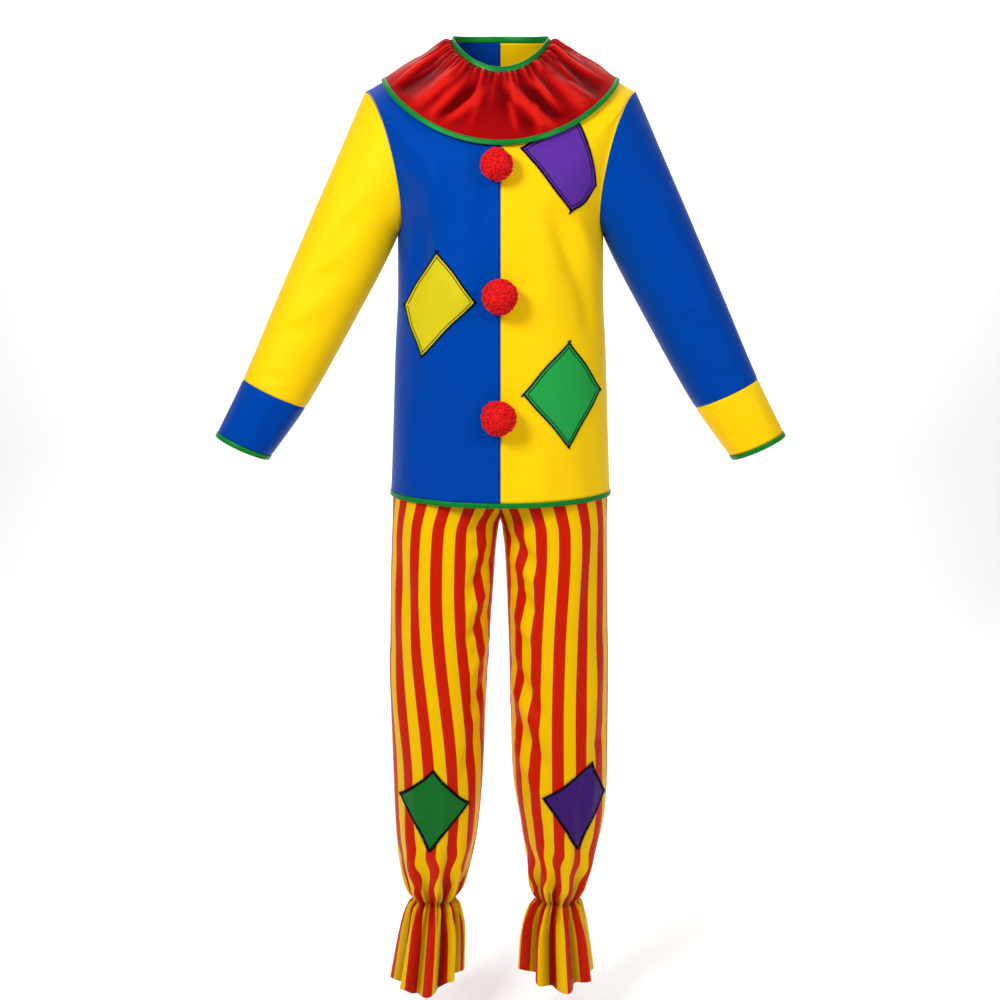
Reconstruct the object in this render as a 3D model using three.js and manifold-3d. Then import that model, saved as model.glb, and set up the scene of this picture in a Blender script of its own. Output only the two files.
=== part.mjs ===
// A two-piece clown costume as it is worn: a long tunic with a gathered collar over striped trousers
// that are drawn in at the ankle. Millimetres, +Z up, the front faces -Y and the wearer's left is +X.
// The origin is on the neckline at the side of the neck, midway between the shoulders.
import * as THREE from "three";
import { mergeVertices } from "three/addons/utils/BufferGeometryUtils.js";
import Module from "manifold-3d";

const wasm = await Module();
wasm.setup();

// ---------------------------------------------------------------- driving dimensions
const WALL = 1.6; // thickness of a cloth wall
const SEAM_GAP = 0.3; // space between two pieces at a seam
const BINDING = { width: 7, thickness: 2.4 };
const PATCH = { thickness: 1.2, cutDepth: 300 }; // the cut goes from the front plane to the panel and past it
const RING_COLUMNS = 8; // columns of a plain ring in each quarter
const QUARTER = Math.PI / 2;

// Top of the tunic, from the neckline out to the tip of the shoulder. A row is half an ellipse in front
// and half behind: its half width and side height, then depth and centre height of each face.
const YOKE_ROWS = [
  { row: 0, width: 72, side: 0, frontDepth: 62, frontZ: -54, backDepth: 62, backZ: 8 },
  { row: 1, width: 120, side: -27.5, frontDepth: 85, frontZ: -108, backDepth: 86, backZ: -36 },
  { row: 2, width: 169, side: -55.5, frontDepth: 99, frontZ: -164, backDepth: 101, backZ: -92 },
  { row: 3, width: 196, side: -71, frontDepth: 103, frontZ: -190, backDepth: 105, backZ: -120 },
];

// Body of the tunic below the armpit: half width, half depth, and how much lower the centre hangs.
const BODY_ROWS = [
  { z: -271, width: 151, depth: 111, drop: 0 },
  { z: -345, width: 151, depth: 111, drop: 0 },
  { z: -445, width: 156, depth: 113, drop: 1 },
  { z: -555, width: 160, depth: 115, drop: 4 },
  { z: -656, width: 164, depth: 117, drop: 7 },
];

// Sleeve from the armhole to the end of the cuff. A ring has a centre, the vector from there to the
// outer line of the sleeve, its half depth, and a bow that pulls the armhole towards the neck.
const SLEEVE_ROWS = [
  { name: "armhole", x: 173.5, y: 0, z: -171, outX: 22.5, outZ: 100, depth: 60, bow: 21 },
  { name: "upper arm", x: 215, y: -2, z: -267, outX: 56, outZ: 28, depth: 57, bow: 0 },
  { name: "elbow", x: 271, y: -8, z: -382, outX: 51.5, outZ: 26, depth: 51, bow: 0 },
  { name: "cuff seam", x: 333, y: -16, z: -505, outX: 45, outZ: 21.5, depth: 45, bow: 0 },
  { name: "cuff end", x: 381.5, y: -22, z: -585, outX: 38, outZ: 18, depth: 39, bow: 0 },
];
const CUFF_LENGTH = 94; // along the sleeve's line, from the cuff seam to the cuff's end
const ARMHOLE_STEPS = 8; // rows of a panel from the shoulder tip to the armpit
const ARMHOLE_CLEARANCE = 5; // how far out a sleeve starts, so that its wall passes the panels' walls
const TUNIC_COLUMNS = 8; // columns of a panel from the centre seam to the side
const TUNIC_CORE = new THREE.Vector3(0, 0, -400); // the panels face away from here

// One leg of the trousers, from the waist to the hem of the ankle frill. Above the crotch the two legs
// meet on the centre seam. fold is the depth of the pleats as a share of the radius.
const LEFT_LEG_ROWS = [
  { z: -424, centre: 0, width: 140, depth: 96, fold: 0 },
  { z: -500, centre: 20, width: 133, depth: 95, fold: 0 },
  { z: -600, centre: 50, width: 109, depth: 90, fold: 0 },
  { z: -665, centre: 71, width: 89, depth: 88, fold: 0 },
  { z: -690, centre: 78.3, width: 81.2, depth: 88, fold: 0 },
  { z: -700, centre: 80.5, width: 79, depth: 88, fold: 0 },
  { z: -790, centre: 85, width: 76, depth: 85, fold: 0 },
  { z: -966, centre: 89.4, width: 74.4, depth: 78, fold: 0 },
  { z: -1085, centre: 91, width: 72.5, depth: 73, fold: 0 },
  { z: -1166, centre: 95, width: 63.4, depth: 64, fold: 0.01 },
  { z: -1222, centre: 94.6, width: 50.4, depth: 52, fold: 0.03 },
  { z: -1291, centre: 88.3, width: 35, depth: 35, fold: 0.07 },
  { z: -1334, centre: 85.5, width: 45.3, depth: 44, fold: 0.1 },
  { z: -1410, centre: 88, width: 52, depth: 50, fold: 0.08 },
];
const RIGHT_LEG_ROWS = [
  { z: -424, centre: 0, width: 140, depth: 96, fold: 0 },
  { z: -500, centre: 20, width: 134, depth: 95, fold: 0 },
  { z: -600, centre: 50, width: 110, depth: 90, fold: 0 },
  { z: -665, centre: 71, width: 90, depth: 88, fold: 0 },
  { z: -690, centre: 79.5, width: 82.3, depth: 88, fold: 0 },
  { z: -700, centre: 82, width: 80, depth: 88, fold: 0 },
  { z: -790, centre: 88, width: 77.5, depth: 85, fold: 0 },
  { z: -966, centre: 94.5, width: 72.8, depth: 78, fold: 0 },
  { z: -1085, centre: 95.8, width: 69, depth: 73, fold: 0 },
  { z: -1184, centre: 98.6, width: 62.2, depth: 64, fold: 0.01 },
  { z: -1237, centre: 101.2, width: 52, depth: 52, fold: 0.03 },
  { z: -1291, centre: 103.4, width: 34.5, depth: 35, fold: 0.07 },
  { z: -1334, centre: 105.8, width: 43.6, depth: 43, fold: 0.1 },
  { z: -1418, centre: 114, width: 49, depth: 48, fold: 0.08 },
];
const FRILL_FOLDS = 10; // pleats round one ankle
const LEG_COLUMNS = FRILL_FOLDS; // columns of half a leg: two for each pleat
const FULL_FOLD = 0.1; // fold of the frill where its hem slants fully
const HEM_SLANT = 12; // how much lower the outside of the frill hangs than its inside
const WAISTBAND_HEIGHT = 30;

// Collar: a gathered ring that lies over the shoulders.
const COLLAR = { startRow: 0.06, edgeRow: 1.86, liftAtNeck: 4.5, liftAtEdge: 8, columns: 18 };
const GATHERS = { count: 24, depth: 1.6 }; // they fade out towards the edge
const EDGE_ROW_LENGTH = 62; // length of one yoke row at the collar's edge
const COLLAR_CORE = new THREE.Vector3(0, 0, -230); // the collar is lifted away from here

// Neck binding: how high it starts, and the size of its foot and top as shares of the neckline.
const NECK = { lift: 1.5, foot: 0.985, top: 0.97 };

// Pom-poms down the centre front, each a ball with a flat back.
const POMPOM_ROWS = [
  { name: "pompom_top", x: -5, z: -184, radius: 23.5 },
  { name: "pompom_middle", x: -1, z: -365, radius: 26 },
  { name: "pompom_bottom", x: -2, z: -533, radius: 26 },
];
const POMPOM_STEPS = 7; // steps of its profile; it has twice as many round it
const POMPOM_BACK = 0.72; // where the flat back is, as a share of the radius

// Patches, each a lozenge given by its four corners as seen from the front: x, z.
const PATCH_ROWS = [
  {
    name: "patch_chest",
    on: "tunic_front_left",
    colour: "purple",
    corners: [[29, -160], [107, -120], [134, -208], [99, -246]],
  },
  {
    name: "patch_waist_right",
    on: "tunic_front_right",
    colour: "yellow",
    corners: [[-89, -303], [-36, -373], [-112, -449], [-138, -376]],
  },
  {
    name: "patch_waist_left",
    on: "tunic_front_left",
    colour: "green",
    corners: [[97, -429], [144, -497], [97, -577], [32, -501]],
  },
  {
    name: "patch_knee_right",
    on: "trouser_front_right",
    colour: "green",
    corners: [[-100, -1063], [-49, -1120], [-107, -1192], [-151, -1108]],
  },
  {
    name: "patch_knee_left",
    on: "trouser_front_left",
    colour: "purple",
    corners: [[136, -1055], [157, -1108], [117, -1192], [65, -1108]],
  },
];

const COLOURS = {
  blue: 0x0b4fae,
  yellow: 0xffe11c,
  red: 0xc4161c,
  green: 0x128a3c,
  purple: 0x4f2a90,
  stripe: 0xe8641a,
  pompom: 0xd81a20,
};
const LEFT = 1; // side of the wearer, as the sign of X
const RIGHT = -1;
const FRONT = -1; // face of a panel, as the sign of Y
const BACK = 1;

// ---------------------------------------------------------------- curves and surfaces
const mix = (a, b, t) => a + (b - a) * t;

// Value of one column of a table where its key column has the given value.
function lookUp(rows, key, value, column) {
  const sign = Math.sign(rows.at(-1)[key] - rows[0][key]);
  let i = 0;
  while (i < rows.length - 2 && (value - rows[i + 1][key]) * sign > 0) i += 1;
  const t = (value - rows[i][key]) / (rows[i + 1][key] - rows[i][key]);
  return mix(rows[i][column], rows[i + 1][column], t);
}

// How far the height of a tunic row has gone from its centre value to its end value, at angle a.
const rise = (a) => 0.5 * (1 - Math.cos(a)) + 0.5 * Math.sin(a) ** 2;

// Elliptic arc from the centre line (0, face * depth, centreZ) to an end point, at share u of its way.
function arcPoint(face, depth, centreZ, end, u) {
  const endAngle = Math.acos(Math.abs(end.y) / depth);
  const width = end.x / Math.sin(endAngle);
  const a = endAngle * u;
  const z = mix(centreZ, end.z, rise(QUARTER * u));
  return new THREE.Vector3(width * Math.sin(a), face * depth * Math.cos(a), z);
}

// Point of the yoke at row number r (0 at the neck, 3 at the shoulder tip) and share u from the centre.
function yokePoint(face, r, u) {
  const name = face === FRONT ? "front" : "back";
  const depth = lookUp(YOKE_ROWS, "row", r, name + "Depth");
  const centreZ = lookUp(YOKE_ROWS, "row", r, name + "Z");
  const end = { x: lookUp(YOKE_ROWS, "row", r, "width"), y: 0, z: lookUp(YOKE_ROWS, "row", r, "side") };
  return arcPoint(face, depth, centreZ, end, u);
}

// Ring of the sleeve at table position k, at angle a: 0 under the arm, a quarter in front, half on top.
function sleevePoint(k, a) {
  const at = (column) => {
    const i = Math.min(Math.floor(k), SLEEVE_ROWS.length - 2);
    return mix(SLEEVE_ROWS[i][column], SLEEVE_ROWS[i + 1][column], k - i);
  };
  const out = -Math.cos(a);
  return new THREE.Vector3(
    at("x") + at("outX") * out - at("bow") * Math.abs(Math.sin(a)),
    at("y") - at("depth") * Math.sin(a),
    at("z") + at("outZ") * out,
  );
}

// Rows of one quarter of the tunic, from the neckline down to the hem; u = 0 is the centre seam.
function tunicRows(face, hemTrim) {
  const shares = Array.from({ length: TUNIC_COLUMNS + 1 }, (_, j) => j / TUNIC_COLUMNS);
  const rows = YOKE_ROWS.map(({ row }) => shares.map((u) => yokePoint(face, row, u)));
  const tip = YOKE_ROWS.at(-1);
  const armpit = BODY_ROWS[0];
  const [tipDepth, tipZ] = face === FRONT ? [tip.frontDepth, tip.frontZ] : [tip.backDepth, tip.backZ];
  for (let i = 1; i < ARMHOLE_STEPS; i += 1) {
    const t = i / ARMHOLE_STEPS;
    const end = sleevePoint(0, Math.PI * (1 - t));
    const depth = mix(tipDepth, armpit.depth, t);
    const centreZ = mix(tipZ, armpit.z, t);
    rows.push(shares.map((u) => arcPoint(face, depth, centreZ, end, u)));
  }
  for (const body of BODY_ROWS) {
    const z = body === BODY_ROWS.at(-1) ? body.z + hemTrim : body.z;
    const end = { x: body.width, y: 0, z };
    rows.push(shares.map((u) => arcPoint(face, body.depth, z - body.drop, end, u)));
  }
  return rows;
}

// Rows of one half of a leg, from the waist down to the frill; column 0 is the inner seam.
function legRows(table, face, columns) {
  return table.map(({ z, centre, width, depth, fold }) => {
    const start = -Math.asin(Math.min(1, centre / width));
    return Array.from({ length: columns + 1 }, (_, j) => {
      const a = mix(start, QUARTER, j / columns);
      const pleat = 1 + fold * Math.cos(FRILL_FOLDS * a);
      const slant = -0.5 * HEM_SLANT * (fold / FULL_FOLD) * Math.sin(a);
      const x = j === 0 && centre < width ? 0 : centre + width * pleat * Math.sin(a);
      const y = j === columns || (j === 0 && centre >= width) ? 0 : face * depth * pleat * Math.cos(a);
      return new THREE.Vector3(x, y, z + slant);
    });
  });
}

// ---------------------------------------------------------------- solids
// Normals of a grid of points, pointing away from the core. On the edge columns of an open grid they
// stay in the plane of the seam there, so that two halves meet without crossing.
function gridNormals(grid, closed, core) {
  const last = grid.length - 1;
  const normals = grid.map((row, i) =>
    row.map((point, j) => {
      const n = row.length;
      const next = closed ? (j + 1) % n : Math.min(j + 1, n - 1);
      const previous = closed ? (j + n - 1) % n : Math.max(j - 1, 0);
      const along = row[next].clone().sub(row[previous]);
      const down = grid[Math.min(i + 1, last)][j].clone().sub(grid[Math.max(i - 1, 0)][j]);
      const normal = down.cross(along);
      const onEdge = !closed && (j === 0 || j === n - 1);
      if (onEdge && Math.abs(point.x) < 1e-6) normal.x = 0;
      if (onEdge && Math.abs(point.y) < 1e-6) normal.y = 0;
      return normal.normalize();
    }),
  );
  const middle = [Math.floor(last / 2), Math.floor(grid[0].length / 2)];
  const away = grid[middle[0]][middle[1]].clone().sub(core);
  const flip = normals[middle[0]][middle[1]].dot(away) < 0;
  if (flip) normals.forEach((row) => row.forEach((normal) => normal.negate()));
  return { normals, flip };
}

// Closed solid between the grid moved by `inner` and by `outer` along its normals.
function wall(grid, core, { closed = false, inner = -WALL / 2, outer = WALL / 2 } = {}) {
  const { normals, flip } = gridNormals(grid, closed, core);
  const rows = grid.length;
  const columns = grid[0].length;
  const positions = [];
  for (const shift of [outer, inner]) {
    grid.forEach((row, i) =>
      row.forEach((point, j) => positions.push(...point.clone().addScaledVector(normals[i][j], shift))),
    );
  }
  const outerAt = (i, j) => i * columns + (j % columns);
  const innerAt = (i, j) => rows * columns + outerAt(i, j);
  const triangles = [];
  const quad = (a, b, c, d) => triangles.push(...(flip ? [a, c, b, a, d, c] : [a, b, c, a, c, d]));
  const strips = closed ? columns : columns - 1;
  for (let i = 0; i < rows - 1; i += 1) {
    for (let j = 0; j < strips; j += 1) {
      quad(outerAt(i, j), outerAt(i + 1, j), outerAt(i + 1, j + 1), outerAt(i, j + 1));
      quad(innerAt(i, j), innerAt(i, j + 1), innerAt(i + 1, j + 1), innerAt(i + 1, j));
    }
    if (!closed) {
      quad(outerAt(i, 0), innerAt(i, 0), innerAt(i + 1, 0), outerAt(i + 1, 0));
      const j = columns - 1;
      quad(outerAt(i, j), outerAt(i + 1, j), innerAt(i + 1, j), innerAt(i, j));
    }
  }
  for (let j = 0; j < strips; j += 1) {
    const i = rows - 1;
    quad(outerAt(0, j), outerAt(0, j + 1), innerAt(0, j + 1), innerAt(0, j));
    quad(outerAt(i, j), innerAt(i, j), innerAt(i, j + 1), outerAt(i, j + 1));
  }
  return geometryOf(positions, triangles);
}

function geometryOf(positions, triangles) {
  const geometry = new THREE.BufferGeometry();
  geometry.setAttribute("position", new THREE.Float32BufferAttribute(positions, 3));
  geometry.setIndex(triangles);
  return geometry;
}

function toManifold(geometry) {
  const bare = geometry.clone();
  bare.deleteAttribute("normal");
  bare.deleteAttribute("uv");
  const merged = mergeVertices(bare, 1e-4);
  return new wasm.Manifold(
    new wasm.Mesh({
      numProp: 3,
      vertProperties: merged.attributes.position.array,
      triVerts: new Uint32Array(merged.index.array),
    }),
  );
}

function fromManifold(solid) {
  const { vertProperties, triVerts } = solid.getMesh();
  return geometryOf(Array.from(vertProperties), Array.from(triVerts));
}

// ---------------------------------------------------------------- pieces
const costume = new THREE.Group();
costume.name = "clown_costume";

function addPiece(name, geometry, colour, roughness = 0.6) {
  const material = new THREE.MeshStandardMaterial({ color: colour, roughness, metalness: 0 });
  geometry.computeVertexNormals();
  const mesh = new THREE.Mesh(geometry, material);
  mesh.name = name;
  costume.add(mesh);
}

// A panel is drawn on the left and mirrored to the right, and stands off its seams by half a gap.
const placePanel = (grid, side) => grid.map((row) => row.map((p) => new THREE.Vector3(side * p.x, p.y, p.z)));
const offSeams = (geometry, side, face) =>
  geometry.translate((side * SEAM_GAP) / 2, (face * SEAM_GAP) / 2, 0);

const panelGrids = {}; // the grid of each panel that carries a patch, with its core and its shifts

function addPanel(name, grid, core, side, face, colour) {
  const placed = placePanel(grid, side);
  addPiece(name, offSeams(wall(placed, core), side, face), colour);
  panelGrids[name] = { grid: placed, core, side, face };
}

function addTunicPanels() {
  for (const [faceName, face] of [["front", FRONT], ["back", BACK]]) {
    const grid = tunicRows(face, BINDING.width + SEAM_GAP);
    addPanel(`tunic_${faceName}_right`, grid, TUNIC_CORE, RIGHT, face, COLOURS.blue);
    addPanel(`tunic_${faceName}_left`, grid, TUNIC_CORE, LEFT, face, COLOURS.yellow);
  }
}

// Closed ring round the body, from a function of face and share, front left first.
function bodyRing(pointAt, columns) {
  const quarters = [[FRONT, LEFT, false], [BACK, LEFT, true], [BACK, RIGHT, false], [FRONT, RIGHT, true]];
  const ring = [];
  for (const [face, side, backwards] of quarters) {
    for (let j = 0; j < columns; j += 1) {
      const u = backwards ? 1 - j / columns : j / columns;
      const p = pointAt(face, u);
      ring.push(new THREE.Vector3(side * p.x, p.y, p.z));
    }
  }
  return ring;
}

function addHemBinding() {
  const hem = BODY_ROWS.at(-1);
  const pointAt = (face, z, u) => arcPoint(face, hem.depth, z - hem.drop, { x: hem.width, y: 0, z }, u);
  const ringAt = (z) => bodyRing((face, u) => pointAt(face, z, u), RING_COLUMNS);
  const grid = [ringAt(hem.z + BINDING.width), ringAt(hem.z)];
  const core = new THREE.Vector3(0, 0, hem.z);
  addPiece("hem_binding", wall(grid, core, bindingWall()), COLOURS.green, 0.45);
}

const bindingWall = () => ({ closed: true, inner: -BINDING.thickness / 2, outer: BINDING.thickness / 2 });

// Tube of a sleeve at positions of its table. Its first ring stands off the armhole.
function sleeveTube(side, stations, columns) {
  return stations.map((k) =>
    Array.from({ length: columns }, (_, j) => {
      const a = (4 * QUARTER * j) / columns;
      const p = sleevePoint(k, a);
      const clear = k === 0 ? ARMHOLE_CLEARANCE : 0;
      return new THREE.Vector3(side * (p.x + clear), p.y, p.z);
    }),
  );
}

function addSleeve(sideName, side, colour, cuffColour) {
  const columns = 2 * ARMHOLE_STEPS;
  const elbow = SLEEVE_ROWS[2];
  const core = new THREE.Vector3(side * elbow.x, elbow.y, elbow.z);
  const cuffEnd = SLEEVE_ROWS.length - 1;
  const trim = (BINDING.width + SEAM_GAP) / CUFF_LENGTH;
  const gap = SEAM_GAP / CUFF_LENGTH;
  const stations = [0, 0.35, 0.7, 1, 1.5, 2, cuffEnd - 1 - gap];
  addPiece(`sleeve_${sideName}`, wall(sleeveTube(side, stations, columns), core, { closed: true }), colour);

  const cuff = SLEEVE_ROWS.at(-1);
  const cuffCore = new THREE.Vector3(side * cuff.x, cuff.y, cuff.z);
  const cuffStations = [cuffEnd - 1, cuffEnd - trim];
  const cuffGrid = sleeveTube(side, cuffStations, columns);
  addPiece(`cuff_${sideName}`, wall(cuffGrid, cuffCore, { closed: true }), cuffColour);

  const bindingGrid = sleeveTube(side, [cuffEnd - trim + gap, cuffEnd], columns);
  addPiece(`cuff_binding_${sideName}`, wall(bindingGrid, cuffCore, bindingWall()), COLOURS.green, 0.45);
}

// Collar ring at yoke row r: the yoke moved away from the core, with the gathers fading to the edge.
function collarRing(r, columns, gatherDepth) {
  const t = (r - COLLAR.startRow) / (COLLAR.edgeRow - COLLAR.startRow);
  const ring = bodyRing((face, u) => yokePoint(face, r, u), columns);
  return ring.map((p, j) => {
    const gather = gatherDepth * Math.cos((GATHERS.count * 4 * QUARTER * j) / ring.length);
    const lift = mix(COLLAR.liftAtNeck, COLLAR.liftAtEdge, Math.max(0, t)) + gather;
    return p.clone().addScaledVector(p.clone().sub(COLLAR_CORE).normalize(), lift);
  });
}

function addCollar() {
  const { startRow, edgeRow, columns } = COLLAR;
  const shares = [0, 0.25, 0.6, 1];
  const grid = shares.map((t) => collarRing(mix(startRow, edgeRow, t), columns, GATHERS.depth * (1 - t)));
  addPiece("collar", wall(grid, COLLAR_CORE, { closed: true }), COLOURS.red, 0.4);

  const bindingRows = [edgeRow + SEAM_GAP / EDGE_ROW_LENGTH, edgeRow + BINDING.width / EDGE_ROW_LENGTH];
  const bindingGrid = bindingRows.map((r) => collarRing(r, columns, 0));
  addPiece("collar_binding", wall(bindingGrid, COLLAR_CORE, bindingWall()), COLOURS.green, 0.45);
}

// The neck binding stands on the neckline, just inside the collar's gathered edge.
function addNeckBinding() {
  const ringAt = (height, shrink) =>
    bodyRing((face, u) => {
      const p = yokePoint(face, 0, u);
      return new THREE.Vector3(p.x * shrink, p.y * shrink, p.z + NECK.lift + height);
    }, RING_COLUMNS);
  const grid = [ringAt(BINDING.width, NECK.top), ringAt(0, NECK.foot)];
  const core = new THREE.Vector3(0, 0, 0);
  addPiece("neck_binding", wall(grid, core, bindingWall()), COLOURS.green, 0.45);
}

function addPompoms() {
  for (const { name, x, z, radius } of POMPOM_ROWS) {
    const backAngle = Math.asin(POMPOM_BACK);
    const profile = [new THREE.Vector2(0, -radius)];
    for (let i = 1; i <= POMPOM_STEPS; i += 1) {
      const a = mix(-QUARTER, backAngle, i / POMPOM_STEPS);
      profile.push(new THREE.Vector2(radius * Math.cos(a), radius * Math.sin(a)));
    }
    profile.push(new THREE.Vector2(0, radius * POMPOM_BACK));
    const geometry = new THREE.LatheGeometry(profile, 2 * POMPOM_STEPS);
    const lowest = z - radius * Math.cos(backAngle);
    const back = -(frontDepthAt(lowest) + WALL / 2 + 2 * SEAM_GAP);
    geometry.translate(x, back - radius * POMPOM_BACK, z);
    addPiece(name, geometry, COLOURS.pompom, 0.9);
  }
}

// Depth of the tunic's centre front at a height below the collar.
function frontDepthAt(z) {
  const tip = YOKE_ROWS.at(-1);
  const armpit = BODY_ROWS[0];
  if (z < armpit.z) return lookUp(BODY_ROWS, "z", z, "depth");
  return mix(tip.frontDepth, armpit.depth, (z - tip.frontZ) / (armpit.z - tip.frontZ));
}

// A patch is a layer over its panel, cut out by a prism with the outline of the lozenge.
function addPatches() {
  for (const { name, on, colour, corners } of PATCH_ROWS) {
    const { grid, core, side, face } = panelGrids[on];
    const inner = WALL / 2 + SEAM_GAP;
    const layer = offSeams(wall(grid, core, { inner, outer: inner + PATCH.thickness }), side, face);
    const outline = new THREE.Shape(corners.map(([x, z]) => new THREE.Vector2(x, z)));
    const prism = new THREE.ExtrudeGeometry(outline, { depth: PATCH.cutDepth, bevelEnabled: false });
    prism.rotateX(QUARTER);
    const cut = toManifold(layer).intersect(toManifold(prism));
    addPiece(name, fromManifold(cut), COLOURS[colour]);
  }
}

function addTrousers() {
  const legs = [["right", RIGHT, RIGHT_LEG_ROWS], ["left", LEFT, LEFT_LEG_ROWS]];
  for (const [sideName, side, table] of legs) {
    const middle = table[Math.floor(table.length / 2)];
    const core = new THREE.Vector3(side * middle.centre, 0, middle.z);
    for (const [faceName, face] of [["front", FRONT], ["back", BACK]]) {
      const grid = legRows(table, face, LEG_COLUMNS);
      addPanel(`trouser_${faceName}_${sideName}`, grid, core, side, face, COLOURS.stripe);
    }
  }
}

function addWaistband() {
  const top = LEFT_LEG_ROWS[0];
  const pointAt = (face, z, u) => arcPoint(face, top.depth, z, { x: top.width, y: 0, z }, u);
  const ringAt = (z) => bodyRing((face, u) => pointAt(face, z, u), RING_COLUMNS);
  const grid = [ringAt(top.z + SEAM_GAP + WAISTBAND_HEIGHT), ringAt(top.z + SEAM_GAP)];
  const core = new THREE.Vector3(0, 0, top.z);
  addPiece("waistband", wall(grid, core, bindingWall()), COLOURS.stripe);
}

addTunicPanels();
addHemBinding();
addSleeve("right", RIGHT, COLOURS.yellow, COLOURS.blue);
addSleeve("left", LEFT, COLOURS.blue, COLOURS.yellow);
addCollar();
addNeckBinding();
addPompoms();
addTrousers();
addWaistband();
addPatches();

export default costume;
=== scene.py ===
# %% [markdown]
# This is a lesson in dressing a packed costume. The solids of a clown costume, a tunic over a pair of
# trousers, are loaded as a fixed frame. Each solid is then replaced by a thin cloth shell of the same form,
# with its folds, stitches and finish. Everything is in metres, +Z is up and the front faces -Y.

# %% Load the frame
import math
from collections import namedtuple

import bmesh
import bpy
import numpy as np
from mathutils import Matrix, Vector
from mathutils.bvhtree import BVHTree


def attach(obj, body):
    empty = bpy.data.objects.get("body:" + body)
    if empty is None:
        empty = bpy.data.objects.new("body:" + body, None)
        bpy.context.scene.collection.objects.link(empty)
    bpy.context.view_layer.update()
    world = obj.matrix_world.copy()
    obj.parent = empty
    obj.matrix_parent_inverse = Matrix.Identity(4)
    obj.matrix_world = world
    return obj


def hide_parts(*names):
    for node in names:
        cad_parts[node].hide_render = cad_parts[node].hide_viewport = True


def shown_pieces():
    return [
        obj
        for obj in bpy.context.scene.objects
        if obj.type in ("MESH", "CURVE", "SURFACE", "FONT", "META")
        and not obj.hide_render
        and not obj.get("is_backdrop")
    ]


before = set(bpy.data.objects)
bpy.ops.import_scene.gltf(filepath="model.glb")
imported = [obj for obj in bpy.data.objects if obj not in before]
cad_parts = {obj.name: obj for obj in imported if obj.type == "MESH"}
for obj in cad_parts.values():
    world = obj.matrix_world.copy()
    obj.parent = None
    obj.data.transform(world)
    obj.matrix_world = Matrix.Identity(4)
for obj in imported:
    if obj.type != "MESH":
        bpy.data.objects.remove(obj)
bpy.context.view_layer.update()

MM = 0.001
QUARTER = math.pi / 2
print("frame:", len(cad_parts), "solids")

# %% [markdown]
# The camera comes first, because it decides how fine the folds must be. It stands at chest height in front
# of the wearer and looks slightly down, so that both the collar and the ankle frills are in view.

# %% Camera
CAMERA_PLACE = Vector((-0.0008, -2.2, -0.364))
CAMERA_AIM = Vector((-0.0008, 0.0, -0.6665))
FRAME_HEIGHT = 1.5  # how much the camera takes in at the costume's middle


def make_camera():
    data = bpy.data.cameras.new("camera")
    camera = bpy.data.objects.new("camera", data)
    bpy.context.collection.objects.link(camera)
    camera.location = CAMERA_PLACE
    look = CAMERA_AIM - CAMERA_PLACE
    camera.rotation_euler = look.to_track_quat("-Z", "Y").to_euler()
    data.sensor_width = 36
    data.lens = data.sensor_width * look.length / FRAME_HEIGHT
    bpy.context.scene.camera = camera
    return camera


make_camera()
print("lens in mm:", round(bpy.context.scene.camera.data.lens, 1))

# %% [markdown]
# Cloth hangs in smooth curves between the few sections that a maker would measure. A monotone cubic curve
# through each column of a short table gives that, with no waves between the sections.

# %% Smooth curves through tables


def smooth(xs, ys):
    """A curve through the points that doesn't overshoot, as a function of an array."""
    xs, ys = np.asarray(xs, float), np.asarray(ys, float)
    if xs[0] > xs[-1]:
        xs, ys = xs[::-1], ys[::-1]
    step = np.diff(xs)
    rate = np.diff(ys) / step
    slope = np.zeros(len(xs))
    both = rate[:-1] * rate[1:] > 0
    w1, w2 = 2 * step[1:] + step[:-1], step[1:] + 2 * step[:-1]
    safe = np.where(both, rate[:-1] * rate[1:], 1.0)
    slope[1:-1] = np.where(both, (w1 + w2) * safe / (w1 * rate[1:] + w2 * rate[:-1] + 1e-12 * ~both), 0)
    slope[0], slope[-1] = rate[0], rate[-1]

    def at(x):
        x = np.clip(x, xs[0], xs[-1])
        i = np.clip(np.searchsorted(xs, x) - 1, 0, len(step) - 1)
        t = (x - xs[i]) / step[i]
        h = step[i]
        return (
            ys[i] * (1 + 2 * t) * (1 - t) ** 2
            + slope[i] * h * t * (1 - t) ** 2
            + ys[i + 1] * t * t * (3 - 2 * t)
            + slope[i + 1] * h * t * t * (t - 1)
        )

    return at


def table(columns, rows):
    """The columns of a table as named arrays."""
    names = columns.split()
    return dict(zip(names, np.array(rows, float).T))


def ease(x, low, high):
    """0 below low, 1 above high, and a soft step between."""
    t = np.clip((x - low) / (high - low), 0, 1)
    return t * t * (3 - 2 * t)


print("curve test:", smooth([0, 1, 2], [0, 1, 4])(np.array([0.5, 1.5])).round(3))

# %% [markdown]
# The tunic is drawn as rows that run from the centre seam to the side. The first four go round the neck and
# end on the shoulder seam. The next ones end on the armhole, and the last ones on the side seam. Each row is
# an elliptic arc, so the front, the back and both sides share one formula.

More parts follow.
